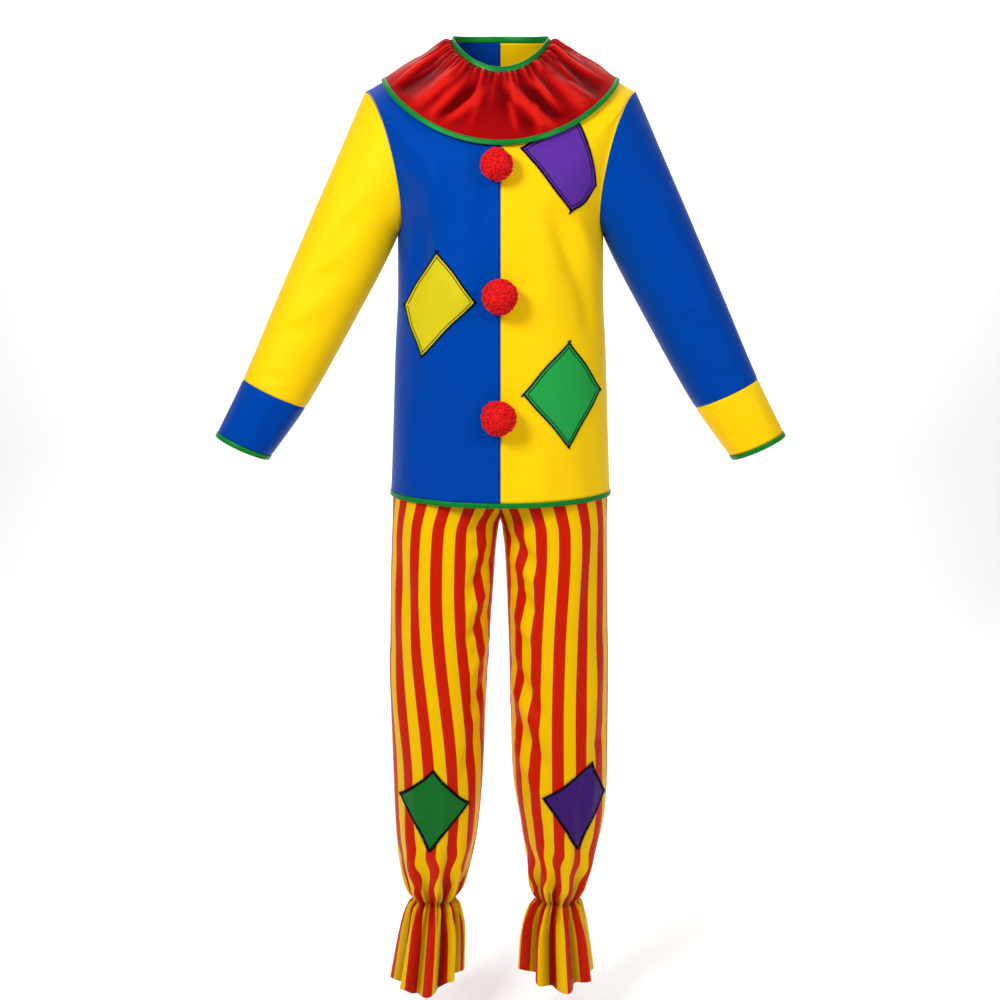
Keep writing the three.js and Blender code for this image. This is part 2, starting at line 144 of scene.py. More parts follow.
# %% Form of the tunic
YOKE = table("width side front_depth front_z back_depth back_z", [
    (72, 0, 62, -54, 62, 8),
    (120, -27.5, 85, -108, 86, -36),
    (169, -55.5, 99, -164, 101, -92),
    (196, -71, 103, -190, 105, -120),
])
BODY = table("z width depth drop", [
    (-271, 151, 111, 0),
    (-345, 151, 111, 0),
    (-445, 156, 113, 1),
    (-555, 160, 115, 4),
    (-656, 164, 117, 7),
])
SLEEVE = table("x y z out_x out_z depth bow", [
    (173.5, 0, -171, 22.5, 100, 60, 21),
    (215, -2, -267, 56, 28, 57, 0),
    (271, -8, -382, 51.5, 26, 51, 0),
    (333, -16, -505, 45, 21.5, 45, 0),
    (381.5, -22, -585, 38, 18, 39, 0),
])
SHOULDER_TIP, ARMPIT, HEM = 3, 4, 8  # numbers of rows
FRONT, BACK = -1, 1  # face of a panel, as the sign of Y
LEFT, RIGHT = 1, -1  # side of the wearer, as the sign of X


def sleeve_point(k, a):
    """Points of the sleeve at table position k and angle a: 0 under the arm, a quarter turn in front."""
    at = {name: smooth(range(5), column)(k) for name, column in SLEEVE.items()}
    out = -np.cos(a)
    x = at["x"] + at["out_x"] * out - at["bow"] * np.abs(np.sin(a))
    y = at["y"] - at["depth"] * np.sin(a)
    z = at["z"] + at["out_z"] * out
    return np.stack(np.broadcast_arrays(x, y, z), -1)


def rise(a):
    return 0.5 * (1 - np.cos(a)) + 0.5 * np.sin(a) ** 2


def tunic_point(face, v, u):
    """Points of a left tunic panel at row number v and share u of the way from the centre seam."""
    side = "front" if face == FRONT else "back"
    heights = [*YOKE[side + "_z"], *(BODY["z"] - BODY["drop"])]
    centre_z = np.interp(v, range(HEM + 1), heights)
    depth = smooth(heights, [*YOKE[side + "_depth"], *BODY["depth"]])(centre_z)
    hole = sleeve_point(np.zeros_like(v), math.pi * (ARMPIT - np.clip(v, SHOULDER_TIP, ARMPIT)))
    body_z = np.interp(v, range(ARMPIT, HEM + 1), BODY["z"])
    body_end = np.stack(np.broadcast_arrays(smooth(BODY["z"], BODY["width"])(body_z), 0, body_z), -1)
    yoke_x, yoke_z = (np.interp(v, range(ARMPIT), YOKE[c]) for c in ("width", "side"))
    yoke_end = np.stack(np.broadcast_arrays(yoke_x, 0, yoke_z), -1)
    row = np.asarray(v)[..., None]
    end = np.where(row <= SHOULDER_TIP, yoke_end, np.where(row >= ARMPIT, body_end, hole))
    end_angle = np.arccos(np.abs(end[..., 1]) / depth)
    width = end[..., 0] / np.sin(end_angle)
    x = width * np.sin(end_angle * u)
    y = face * depth * np.cos(end_angle * u)
    z = centre_z + (end[..., 2] - centre_z) * rise(QUARTER * u)
    return np.stack([x, y, z], -1)


print("front neck at", tunic_point(FRONT, np.array(0.0), np.array(0.0)))

# %% [markdown]
# A leg is one tube from the waist to the hem of the frill. Above the crotch the two legs share the centre
# seam, so each row starts where its ellipse crosses that plane.

# %% Form of the trousers
LEFT_LEG = table("z centre width depth fold", [
    (-424, 0, 140, 96, 0),
    (-500, 20, 133, 95, 0),
    (-600, 50, 109, 90, 0),
    (-665, 71, 89, 88, 0),
    (-690, 78.3, 81.2, 88, 0),
    (-700, 80.5, 79, 88, 0),
    (-790, 85, 76, 85, 0),
    (-966, 89.4, 74.4, 78, 0),
    (-1085, 91, 72.5, 73, 0.0),
    (-1166, 95, 63.4, 64, 0.015),
    (-1222, 94.6, 51.4, 53, 0.07),
    (-1265, 90.5, 42, 43, 0.14),
    (-1291, 88.3, 32.5, 33, 0.17),
    (-1312, 86.5, 38.5, 38, 0.20),
    (-1334, 85.5, 44, 43, 0.21),
    (-1410, 88, 52, 50, 0.20),
])
RIGHT_LEG = table("z centre width depth fold", [
    (-424, 0, 140, 96, 0),
    (-500, 20, 134, 95, 0),
    (-600, 50, 110, 90, 0),
    (-665, 71, 90, 88, 0),
    (-690, 79.5, 82.3, 88, 0),
    (-700, 82, 80, 88, 0),
    (-790, 88, 77.5, 85, 0),
    (-966, 94.5, 72.8, 78, 0),
    (-1085, 95.8, 69, 73, 0.0),
    (-1184, 98.6, 62.2, 64, 0.015),
    (-1237, 101.2, 52, 53, 0.07),
    (-1268, 102.4, 42, 43, 0.14),
    (-1291, 103.4, 32.5, 33, 0.17),
    (-1312, 104.5, 37.5, 37, 0.20),
    (-1334, 105.8, 42.5, 42, 0.21),
    (-1418, 114, 49.5, 48.5, 0.20),
])
ELASTIC_Z = -1291
HEM_SLANT = 12  # how much lower the outside of a frill hangs
# Pleats of a frill, from the inner seam round the front to the outer seam and back: place, in turns of the
# ankle, then half width and depth as shares.
PLEATS = table("place width depth", [
    (0.02, 0.030, 0.9), (0.10, 0.028, -1.0), (0.16, 0.022, 0.7), (0.215, 0.026, -1.1), (0.285, 0.030, 1.1),
    (0.35, 0.022, -0.8), (0.41, 0.028, 0.9), (0.47, 0.024, -0.7), (0.55, 0.030, 1.0), (0.62, 0.026, -0.9),
    (0.69, 0.026, 0.8), (0.755, 0.024, -1.0), (0.83, 0.030, 1.0), (0.90, 0.024, -0.8), (0.955, 0.022, 0.8),
])
GATHERS = 27  # fine gathers that the ankle elastic draws up, round one leg


def leg_fold(a, face, z, fold, shift):
    """Depth of the pleats as a share of the radius, at angle a and height z."""
    share = (a + QUARTER) / (4 * QUARTER)
    turn = np.mod((share if face == FRONT else 1 - share) + shift, 1)
    pleat = np.zeros(np.broadcast(a, z).shape)
    for place, width, depth in zip(*PLEATS.values()):
        gap = np.abs(np.mod(turn - place + 0.5, 1) - 0.5)
        pleat += depth * np.exp(-((gap / width) ** 2))
    near = np.exp(-(((z - ELASTIC_Z) / 30) ** 2))
    wander = 3 * np.sin(2 * math.pi * turn + shift * 9) + 0.8 * np.sin((z - ELASTIC_Z) / 24 + 5 * turn)
    gather = 0.8 * near * np.cos(GATHERS * 2 * math.pi * turn + wander)
    pinch = np.exp(-(((z - ELASTIC_Z) / 5) ** 2))
    return fold * (pleat * (1 - 0.5 * near) + gather * (1 - 0.4 * pinch) - 0.75 * pinch)


def leg_point(leg, face, z, u, shift):
    """Points of half a leg at height z and share u of the way from the inner seam to the outer one."""
    centre, width, depth, fold = (smooth(leg["z"], leg[c])(z) for c in ("centre", "width", "depth", "fold"))
    start = -np.arcsin(np.clip(centre / width, 0, 1))
    a = start + (QUARTER - start) * u
    pleat = 1 + leg_fold(a, face, z, fold, shift)
    x = centre + width * pleat * np.sin(a)
    x = np.where((u == 0) & (centre < width), 0, x)
    y = face * depth * pleat * np.cos(a)
    low = ease(-z, -ELASTIC_Z, 1400)
    return np.stack([x, y, z - low * HEM_SLANT * 0.5 * np.sin(a)], -1), a


def true_radius(leg, z):
    """Radius that sets the width of the cloth: it stops shrinking where the elastic gathers the leg."""
    mean = 0.5 * (smooth(leg["z"], leg["width"])(z) + smooth(leg["z"], leg["depth"])(z))
    return np.maximum(mean, 68)


print("left knee at", leg_point(LEFT_LEG, FRONT, np.array(-1085.0), np.array(0.5), 0)[0].round(1))

# %% [markdown]
# Creases are placed one by one, as a tailor would chalk them: each is a line in front view with a width and a
# depth, positive for a ridge and negative for a trough. They are moved along the cloth's own normals.

# %% Creases
Crease = namedtuple("Crease", "x0 z0 x1 z1 width depth")
FOLD_STRENGTH = 1.6  # scales all creases together


def press(points, normals, creases):
    """Moves points out of or into the cloth along each crease."""
    shift = np.zeros(points.shape[:-1])
    for c in creases:
        line = np.array([c.x1 - c.x0, c.z1 - c.z0], float)
        gap = points[..., [0, 2]] - (c.x0, c.z0)
        t = gap @ line / (line @ line)
        near = gap - np.clip(t, 0, 1)[..., None] * line
        across = np.exp(-(near**2).sum(-1) / c.width**2)
        shift += FOLD_STRENGTH * c.depth * across * (0.35 + 0.65 * np.sin(math.pi * np.clip(t, 0, 1)))
    return points + normals * shift[..., None]


def grid_normals(grid, closed, core):
    """Normals of a grid of points, facing away from the core."""
    along = np.roll(grid, -1, 1) - np.roll(grid, 1, 1) if closed else np.gradient(grid, axis=1)
    normals = np.cross(np.gradient(grid, axis=0), along)
    normals /= np.linalg.norm(normals, axis=-1, keepdims=True) + 1e-12
    middle = grid.shape[0] // 2, grid.shape[1] // 2
    if normals[middle] @ (grid[middle] - core) < 0:
        normals = -normals
    return normals


# %% [markdown]
# Every cloth piece becomes a mesh in the same way: a grid of points, a UV map in metres so that weave and
# stripes keep their true size, and a Solidify modifier for the thickness, which also closes the edges.

# %% Cloth meshes
CLOTH = 0.9 * MM
SHEETS = []


def grid_mesh(name, grid, uv, closed, core, material):
    """A mesh of quads from a grid in millimetres, facing away from the core."""
    rows, columns = grid.shape[:2]
    index = np.arange(rows * columns).reshape(rows, columns)
    if closed:
        index = np.hstack([index, index[:, :1]])
        uv = np.concatenate([uv, uv[:, -1:] * 2 - uv[:, -2:-1]], 1)
    corners = (index[:-1, :-1], index[1:, :-1], index[1:, 1:], index[:-1, 1:])
    maps = (uv[:-1, :-1], uv[1:, :-1], uv[1:, 1:], uv[:-1, 1:])
    quads = np.stack([c.ravel() for c in corners], -1)
    places = np.stack([m.reshape(-1, 2) for m in maps], 1)
    first = grid.reshape(-1, 3)[quads[len(quads) // 2]]
    facing = np.cross(first[1] - first[0], first[3] - first[0]) @ (first[0] - core)
    if facing < 0:
        quads, places = quads[:, ::-1], places[:, ::-1]
    mesh = bpy.data.meshes.new(name)
    mesh.from_pydata((grid.reshape(-1, 3) * MM).tolist(), [], quads.tolist())
    layer = mesh.uv_layers.new(name="cloth")
    layer.data.foreach_set("uv", (places.reshape(-1) * MM).astype(np.float32))
    mesh.polygons.foreach_set("use_smooth", [True] * len(mesh.polygons))
    mesh.materials.append(material)
    piece = bpy.data.objects.new(name, mesh)
    bpy.context.collection.objects.link(piece)
    return piece


def solidify(piece, thickness=CLOTH, offset=-1.0):
    modifier = piece.modifiers.new("thickness", "SOLIDIFY")
    modifier.thickness = thickness
    modifier.offset = offset
    modifier.use_even_offset = False
    return piece


def spans(grid, closed=False):
    """Widest row and longest column of a grid, and its area, in metres and square metres."""
    wide = np.concatenate([grid, grid[:, :1]], 1) if closed else grid
    width = np.linalg.norm(np.diff(wide, axis=1), axis=-1).sum(1).max()
    length = np.linalg.norm(np.diff(grid, axis=0), axis=-1).sum(0).max()
    a = wide[1:, 1:] - wide[:-1, :-1]
    b = wide[1:, :-1] - wide[:-1, 1:]
    area = 0.5 * np.linalg.norm(np.cross(a, b), axis=-1).sum()
    return width * MM, length * MM, area * MM * MM


def declare(piece, node, slot, sheet=None):
    """Hangs a piece on the root, hides the solid that it stands for, and notes what its cloth was cut to; the
    slot is not used.
    """
    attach(piece, "root")
    if node:
        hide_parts(node)
    if sheet:
        width, length, area = sheet
        min(area, width * length)
        SHEETS.append(f"{piece.name}: {width:.3f} x {length:.3f} m, {area:.4f} m2")
    return piece


# %% [markdown]
# The finishes share a few node groups: a fine weave that only tilts the surface, a slow drift of tone as in
# dyed cloth, and the stripes. Each group gives colours, masks or normals, and the shader itself stays in the
# material.

# %% Node groups


def add_node(tree, kind, settings=None, **inputs):
    """A node with its settings; an input is a number, a colour or another node's output."""
    made = tree.nodes.new(kind)
    for key, value in (settings or {}).items():
        setattr(made, key, value)
    for key, value in inputs.items():
        socket = made.inputs[int(key[1:])] if key[1:].isdigit() else made.inputs[key.replace("_", " ")]
        if isinstance(value, bpy.types.NodeSocket):
            tree.links.new(value, socket)
        else:
            socket.default_value = value
    return made


def math_node(tree, operation, a, b=0.0):
    return add_node(tree, "ShaderNodeMath", {"operation": operation}, i0=a, i1=b).outputs[0]


def new_group(name, inputs, outputs):
    """An empty shader node group with its sockets, as the tree and its two end nodes."""
    tree = bpy.data.node_groups.new(name, "ShaderNodeTree")
    for label, kind, default in inputs:
        socket = tree.interface.new_socket(label, in_out="INPUT", socket_type="NodeSocket" + kind)
        if default is not None:
            socket.default_value = default
    for label, kind in outputs:
        tree.interface.new_socket(label, in_out="OUTPUT", socket_type="NodeSocket" + kind)
    return tree, tree.nodes.new("NodeGroupInput").outputs, tree.nodes.new("NodeGroupOutput").inputs


def weave_group():
    inputs = [("Cloth", "Vector", None), ("Thread", "Float", 0.0005), ("Depth", "Float", 0.2)]
    tree, given, result = new_group("weave", inputs, [("Normal", "Vector")])
    place = add_node(tree, "ShaderNodeSeparateXYZ", i0=given["Cloth"]).outputs
    turn = math_node(tree, "DIVIDE", 2 * math.pi, given["Thread"])
    across = math_node(tree, "MULTIPLY", place[0], turn)
    along = math_node(tree, "MULTIPLY", place[1], turn)
    twill = math_node(tree, "SINE", math_node(tree, "ADD", across, math_node(tree, "MULTIPLY", along, 0.5)))
    fill = math_node(tree, "SINE", along)
    height = math_node(tree, "ADD", twill, math_node(tree, "MULTIPLY", fill, 0.4))
    bump = add_node(tree, "ShaderNodeBump", Strength=given["Depth"], Distance=0.0001, Height=height)
    tree.links.new(bump.outputs[0], result["Normal"])
    return tree


def tone_group():
    inputs = [("Colour", "Color", None), ("Place", "Vector", None), ("Amount", "Float", 0.08)]
    tree, given, result = new_group("tone", inputs, [("Colour", "Color")])
    slow = add_node(tree, "ShaderNodeTexNoise", Vector=given["Place"], Scale=9.0, Detail=2.0).outputs[0]
    fine = add_node(tree, "ShaderNodeTexNoise", Vector=given["Place"], Scale=240.0, Detail=2.0).outputs[0]
    both = math_node(tree, "ADD", slow, math_node(tree, "MULTIPLY", fine, 0.6))
    swing = math_node(tree, "MULTIPLY", math_node(tree, "SUBTRACT", both, 0.8), given["Amount"])
    value = math_node(tree, "ADD", swing, 1.0)
    made = add_node(tree, "ShaderNodeHueSaturation", Value=value, Color=given["Colour"])
    tree.links.new(made.outputs[0], result["Colour"])
    return tree


def stripe_group():
    inputs = [("Cloth", "Vector", None), ("Period", "Float", 0.0365), ("Start", "Float", 0.0)]
    tree, given, result = new_group("stripes", inputs, [("Mask", "Float")])
    place = add_node(tree, "ShaderNodeSeparateXYZ", i0=given["Cloth"]).outputs
    moved = math_node(tree, "SUBTRACT", place[0], given["Start"])
    share = math_node(tree, "FRACT", math_node(tree, "DIVIDE", moved, given["Period"]))
    mask = math_node(tree, "LESS_THAN", share, 0.5)
    tree.links.new(mask, result["Mask"])
    return tree


WEAVE, TONE, STRIPES = weave_group(), tone_group(), stripe_group()
print("groups:", WEAVE.name, TONE.name, STRIPES.name)

# %% [markdown]
# Satin polyester has a soft broad highlight and a slight bloom at glancing angles, so it takes medium
# roughness with a little sheen. The velour collar is duller, and its light and dark streaks are painted into
# its
# colour: painted highlights on the ridges of its folds and painted shade in their troughs. Yarn is matt.

# %% Materials
THREAD_WIDTH = 0.0006
# Painted shade: deep in a trouser pleat the stripes are multiplied by this colour.
PAINTED_PLEAT_TINT = (0.40, 0.26, 0.26, 1.0)  # what is left of the light deep in a pleat


def linear(r, g, b):
    """A colour given as a screen shows it, in linear light."""
    shares = [c / 255 for c in (r, g, b)]
    return (*(c / 12.92 if c < 0.0431 else ((c + 0.055) / 1.055) ** 2.4 for c in shares), 1.0)


def make_material(
    name, colour, bloom, second=None, nap=None, roughness=0.5, sheen=0.03, shine=0.2, tone=0.1, depth=0.15
):
    """A cloth or yarn, whose highlights take the colour bloom. With a second colour it is striped, and
    painted shade darkens it where a point attribute marks the depths of pleats. Given the colours of its fold
    troughs and ridges, it takes painted shade in the troughs and painted highlights on the ridges, from the
    point attribute of that argument's name."""
    material = bpy.data.materials.new(name)
    material.use_nodes = True
    tree = material.node_tree
    shader = tree.nodes["Principled BSDF"]
    shader.inputs["Roughness"].default_value = roughness
    shader.inputs["Sheen Weight"].default_value = sheen
    shader.inputs["Sheen Roughness"].default_value = 0.4
    shader.inputs["Sheen Tint"].default_value = linear(*bloom)
    shader.inputs["Specular IOR Level"].default_value = shine
    shader.inputs["Specular Tint"].default_value = linear(*bloom)
    coords = tree.nodes.new("ShaderNodeTexCoord").outputs
    base = linear(*colour)
    material.diffuse_color = base
    # painted shade in the fold troughs and painted highlights on the ridges, as a ramp from dark through the
    # cloth's colour to bright
    if nap:
        height = add_node(tree, "ShaderNodeAttribute", {"attribute_name": "nap"}).outputs["Fac"]
        ramp = tree.nodes.new("ShaderNodeValToRGB")
        tree.links.new(height, ramp.inputs[0])
        ramp.color_ramp.elements.new(0.5)
        for stop, place, shade in zip(ramp.color_ramp.elements, (0.0, 0.5, 1.0), (nap[0], colour, nap[1])):
            stop.position = place
            stop.color = linear(*shade)
        base = ramp.outputs[0]
    if second:
        first, other, start = base, linear(*second[0]), second[1]
        stripes = add_node(tree, "ShaderNodeGroup", {"node_tree": STRIPES}, Cloth=coords["UV"], Start=start)
        mixed = add_node(
            tree, "ShaderNodeMix", {"data_type": "RGBA"}, i0=stripes.outputs[0], i6=other, i7=first
        )
        # painted shade deep in the pleats, multiplied into the stripes
        painted_shade_mask = add_node(tree, "ShaderNodeAttribute", {"attribute_name": "hollow"}).outputs["Fac"]
        shaded = add_node(
            tree, "ShaderNodeMix", {"data_type": "RGBA", "blend_type": "MULTIPLY"},
            i0=painted_shade_mask, i6=mixed.outputs[2], i7=PAINTED_PLEAT_TINT,
        )
        base = shaded.outputs[2]
    toned = add_node(
        tree, "ShaderNodeGroup", {"node_tree": TONE}, Colour=base, Place=coords["Object"], Amount=tone
    )
    tree.links.new(toned.outputs[0], shader.inputs["Base Color"])
    if depth:
        weave = add_node(
            tree, "ShaderNodeGroup", {"node_tree": WEAVE},
            Cloth=coords["UV"], Thread=THREAD_WIDTH, Depth=depth,
        )
        tree.links.new(weave.outputs[0], shader.inputs["Normal"])
    return material


RED, YELLOW, WARM = (196, 22, 5), (236, 186, 0), (255, 190, 90)
LEFT_STRIPES = make_material("striped_cloth_left", RED, WARM, second=(YELLOW, 0.0035))
RIGHT_STRIPES = make_material("striped_cloth_right", RED, WARM, second=(YELLOW, -0.0026))
BLUE_CLOTH = make_material("blue_cloth", (0, 62, 156), (40, 120, 255), roughness=0.42)
YELLOW_CLOTH = make_material("yellow_cloth", (250, 204, 3), (255, 246, 150), roughness=0.5, tone=0.06)
# The collar's fold troughs take a painted shade and its ridges a painted highlight.
VELOUR = make_material(
    "red_velvet", (156, 8, 12), (255, 50, 30),
    nap=((92, 1, 5), (210, 28, 20)), roughness=0.42, sheen=0.0, shine=0.14, tone=0.2,
)
BINDING_CLOTH = make_material("green_binding", (10, 118, 40), (120, 255, 150), roughness=0.34, shine=0.5)
PATCH_CLOTH = {
    "patch_chest": make_material("patch_purple", (88, 44, 150), (180, 140, 255)),
    "patch_waist_right": make_material("patch_yellow", (206, 190, 22), (255, 246, 160)),
    "patch_waist_left": make_material("patch_green", (34, 154, 68), (150, 255, 180)),
    "patch_knee_right": make_material("patch_dark_green", (22, 104, 40), (120, 255, 150)),
    "patch_knee_left": make_material("patch_dark_purple", (58, 26, 104), (180, 140, 255)),
}
YARN = make_material(
    "pompom_yarn", (228, 30, 34), (255, 120, 110), roughness=0.8, sheen=0.2, tone=0.3, depth=0
)
THREAD = make_material("black_thread", (12, 10, 14), (90, 90, 100), roughness=0.6, tone=0.2, depth=0)
GREEN_THREAD = make_material("green_thread", (6, 78, 26), (120, 255, 150), roughness=0.55, tone=0.2, depth=0)
print("materials:", len(bpy.data.materials))

# %% [markdown]
# The tunic is four panels: blue on the wearer's right and yellow on the left, joined by a crisp seam down the
# middle. A maker would cut each panel flat and join them at the shoulders and sides. The cloth is
# smooth, with a few soft diagonal folds from the armholes to the waist, and puckers where a sleeve is set in.

# %% Tunic panels
FRONT_CREASES = [
    # blue half: a trough from the armhole past the patch, with a ridge on each side of it
    Crease(-104, -262, -128, -366, 13, -5.0),
    Crease(-92, -168, -98, -275, 16, 3.2),
    Crease(-66, -330, -58, -400, 20, 2.4),
    Crease(-140, -205, -118, -214, 5, -1.6),
    Crease(-146, -222, -121, -226, 4, -1.4),
    Crease(-132, -188, -112, -200, 6, 1.4),
    Crease(-30, -470, -44, -640, 24, 2.2),
    Crease(-84, -500, -92, -645, 20, -2.4),
    Crease(-128, -520, -138, -648, 15, 2.2),
    Crease(-16, -205, -30, -300, 12, -1.2),
    # yellow half: a broad fold from the chest patch to the waist
    Crease(76, -254, 118, -356, 14, -4.6),
    Crease(118, -352, 130, -418, 12, -3.0),
    Crease(104, -248, 138, -330, 13, 3.0),
    Crease(56, -290, 72, -400, 22, 2.4),
    Crease(20, -345, 46, -352, 12, -1.2),
    Crease(18, -395, 52, -428, 13, -1.3),
    Crease(22, -560, 30, -640, 14, -1.8),
    Crease(58, -590, 64, -652, 15, 2.0),
    Crease(128, -560, 140, -650, 15, -2.0),
    Crease(140, -214, 118, -224, 5, -1.4),
    Crease(147, -236, 124, -243, 5, -1.3),
]
BACK_CREASES = [
    Crease(60, -240, 96, -372, 14, -3.0),
    Crease(84, -232, 122, -340, 15, 2.4),
    Crease(-68, -250, -108, -380, 15, -3.2),
    Crease(-42, -300, -60, -420, 21, 2.2),
    Crease(28, -420, 40, -640, 22, 2.2),
    Crease(-36, -470, -30, -645, 20, -2.2),
    Crease(-96, -480, -112, -650, 18, 2.4),
    Crease(98, -470, 112, -648, 17, -2.2),
    Crease(-8, -190, -34, -262, 14, -1.6),
]
PANEL_COLUMNS = 60
HEM_TOP = 7.93  # row number where the panels end, at the upper edge of the hem binding
LIFT = 0.02  # half the gap at a seam, in millimetres


def relax(grid, rounds):
    """Evens out a grid without moving its outline."""
    for _ in range(rounds):
        inner = grid[:-2, 1:-1] + grid[2:, 1:-1] + grid[1:-1, :-2] + grid[1:-1, 2:]
        grid[1:-1, 1:-1] = 0.25 * inner
    return grid


def arc_uv(grid):
    """Distances along the rows and down the middle column, in millimetres."""
    across = np.cumsum(np.linalg.norm(np.diff(grid, axis=1, prepend=grid[:, :1]), axis=-1), 1)
    middle = grid[:, grid.shape[1] // 2]
    down = np.cumsum(np.linalg.norm(np.diff(middle, axis=0, prepend=middle[:1]), axis=-1))
    return np.stack([across, np.broadcast_to(down[:, None], across.shape)], -1)


def ring_uv(grid):
    """Share of a turn times the longest girth, and distance down, for a grid that closes on itself."""
    rows, columns = grid.shape[:2]
    girth = np.linalg.norm(np.roll(grid, 1, 1) - grid, axis=-1).sum(1).max()
    across = np.broadcast_to(np.arange(columns) / columns * girth, (rows, columns))
    return np.stack([across, arc_uv(grid)[..., 1]], -1)


def dip(distance, width=2.4, depth=0.9):
    """How far cloth sinks at a seam."""
    return -depth * np.exp(-((distance / width) ** 2))


def tunic_grid(face, side):
    rows = np.concatenate([np.linspace(0, 3, 36), np.linspace(3, 4, 34)[1:], np.linspace(4, HEM_TOP, 88)[1:]])
    shares = np.linspace(0, 1, PANEL_COLUMNS + 1)
    grid = relax(tunic_point(face, rows[:, None], shares[None, :]), 40)
    grid[..., 0] *= side
    normals = grid_normals(grid, False, np.array([0, 0, -400.0]))
    normals[:, 0, 0] = 0
    uv = arc_uv(grid)
    to_side = uv[:, -1:, 0] - uv[..., 0]
    pressed = press(grid, normals, FRONT_CREASES if face == FRONT else BACK_CREASES)
    loose = ease(to_side, 0, 12)[..., None]
    moved = grid + (pressed - grid) * loose
    row = rows[:, None]
    has_seam = 1 - ease(row, 2.8, 3) * (1 - ease(row, 4, 4.1))
    moved += normals * (dip(uv[..., 0]) + has_seam * dip(to_side))[..., None]
    moved[..., 0] += side * LIFT
    return moved, uv


TUNIC = {}
for face_name, face in (("front", FRONT), ("back", BACK)):
    for side_name, side, cloth in (("right", RIGHT, BLUE_CLOTH), ("left", LEFT, YELLOW_CLOTH)):
        name = f"tunic_{face_name}_{side_name}"
        grid, uv = tunic_grid(face, side)
        panel = solidify(grid_mesh(name + "_cloth", grid, uv, False, np.array([0, 0, -400.0]), cloth))
        TUNIC[name] = panel
        declare(panel, name, "blue_cloth" if side == RIGHT else "yellow_cloth", spans(grid))
print("tunic panels:", len(TUNIC))

# %% [markdown]
# A sleeve is one tube, set in at the armhole and widest there. Its cuff is cut from the other colour. The
# folds run slantwise from the underarm and gather at the inside of the elbow.

# %% Sleeves and cuffs
SLEEVE_CREASES = {
    # across the front of the left sleeve as it hangs; the right sleeve takes the same list mirrored
    FRONT: [
        Crease(190, -236, 236, -292, 14, -2.0),
        Crease(200, -150, 226, -226, 15, -1.4),
        Crease(214, -318, 280, -352, 13, -1.6),
        Crease(232, -362, 300, -396, 13, 1.4),
        Crease(256, -404, 318, -416, 12, -1.3),
        Crease(270, -300, 318, -420, 15, 1.3),
        Crease(300, -482, 346, -478, 8, -1.2),
    ],
    BACK: [
        Crease(190, -228, 240, -290, 14, -2.0),
        Crease(206, -300, 272, -330, 14, 1.6),
        Crease(232, -372, 306, -380, 12, -2.0),
        Crease(262, -420, 322, -440, 13, 1.4),
        Crease(300, -486, 350, -492, 9, -1.2),
    ],
}
CUFF_CREASES = {
    FRONT: [Crease(318, -520, 352, -580, 9, -1.6), Crease(362, -500, 396, -560, 9, 1.6)],
    BACK: [Crease(330, -515, 366, -588, 10, -1.6)],
}
SLEEVE_COLUMNS = 96
CUFF_SEAM, CUFF_END = 3, 4  # places in the table of the sleeve
BINDING_WIDTH = 7.0
CUFF_LENGTH = 94.0
SET_IN = 0.3  # how far the head of a sleeve reaches under the edge of the armhole


def tube_grid(start, end, rows, side, creases):
    """Part of a sleeve, with its creases; its head is set in under the edge of the armhole."""
    k = np.linspace(start, end, rows)[:, None]
    a = np.linspace(0, 2 * math.pi, SLEEVE_COLUMNS, endpoint=False)[None, :]
    grid = sleeve_point(k, a)
    core = sleeve_point(np.array((start + end) / 2), np.array([0.0, math.pi])).mean(0)
    normals = grid_normals(grid, True, core)
    front = ease(-normals[..., 1], -0.2, 0.3)[..., None]
    folded = front * press(grid, normals, creases[FRONT]) + (1 - front) * press(grid, normals, creases[BACK])
    fade = ease(k, start, start + 0.15) * (1 - ease(k, end - 0.12, end))
    grid = grid + (folded - grid) * fade[..., None]
    length = np.linalg.norm(grid[-1, 0] - grid[0, 0])
    down = (k - start) / (end - start) * length
    grid += normals * (dip(down) * (start > 0) + dip(length - down))[..., None]
    grid[..., 0] = side * (grid[..., 0] - SET_IN * np.exp(-down) * (start == 0))
    return grid, core * (side, 1, 1)


SLEEVES = {}
for side_name, side in (("right", RIGHT), ("left", LEFT)):
    cloths = [(BLUE_CLOTH, "blue_cloth"), (YELLOW_CLOTH, "yellow_cloth")]
    if side == RIGHT:
        cloths.reverse()
    trim = 1 - BINDING_WIDTH / CUFF_LENGTH
    parts = [
        ("sleeve", 0, CUFF_SEAM, 120, SLEEVE_CREASES),
        ("cuff", CUFF_SEAM, CUFF_SEAM + trim, 34, CUFF_CREASES),
    ]
    for (part, start, end, rows, creases), (cloth, slot) in zip(parts, cloths):
        name = f"{part}_{side_name}"
        grid, core = tube_grid(start, end, rows, side, creases)
        tube = solidify(grid_mesh(name + "_cloth", grid, ring_uv(grid), True, core, cloth))
        SLEEVES[name] = grid
        declare(tube, name, slot, spans(grid, True))
print("sleeves and cuffs:", len(SLEEVES))

# %% [markdown]
# The trousers are two legs of straight striped cloth. The stripes follow the cloth's own width, so they keep
# their size down the leg and crowd together where the elastic draws the ankle in. Below it the frill opens
# in deep uneven pleats.

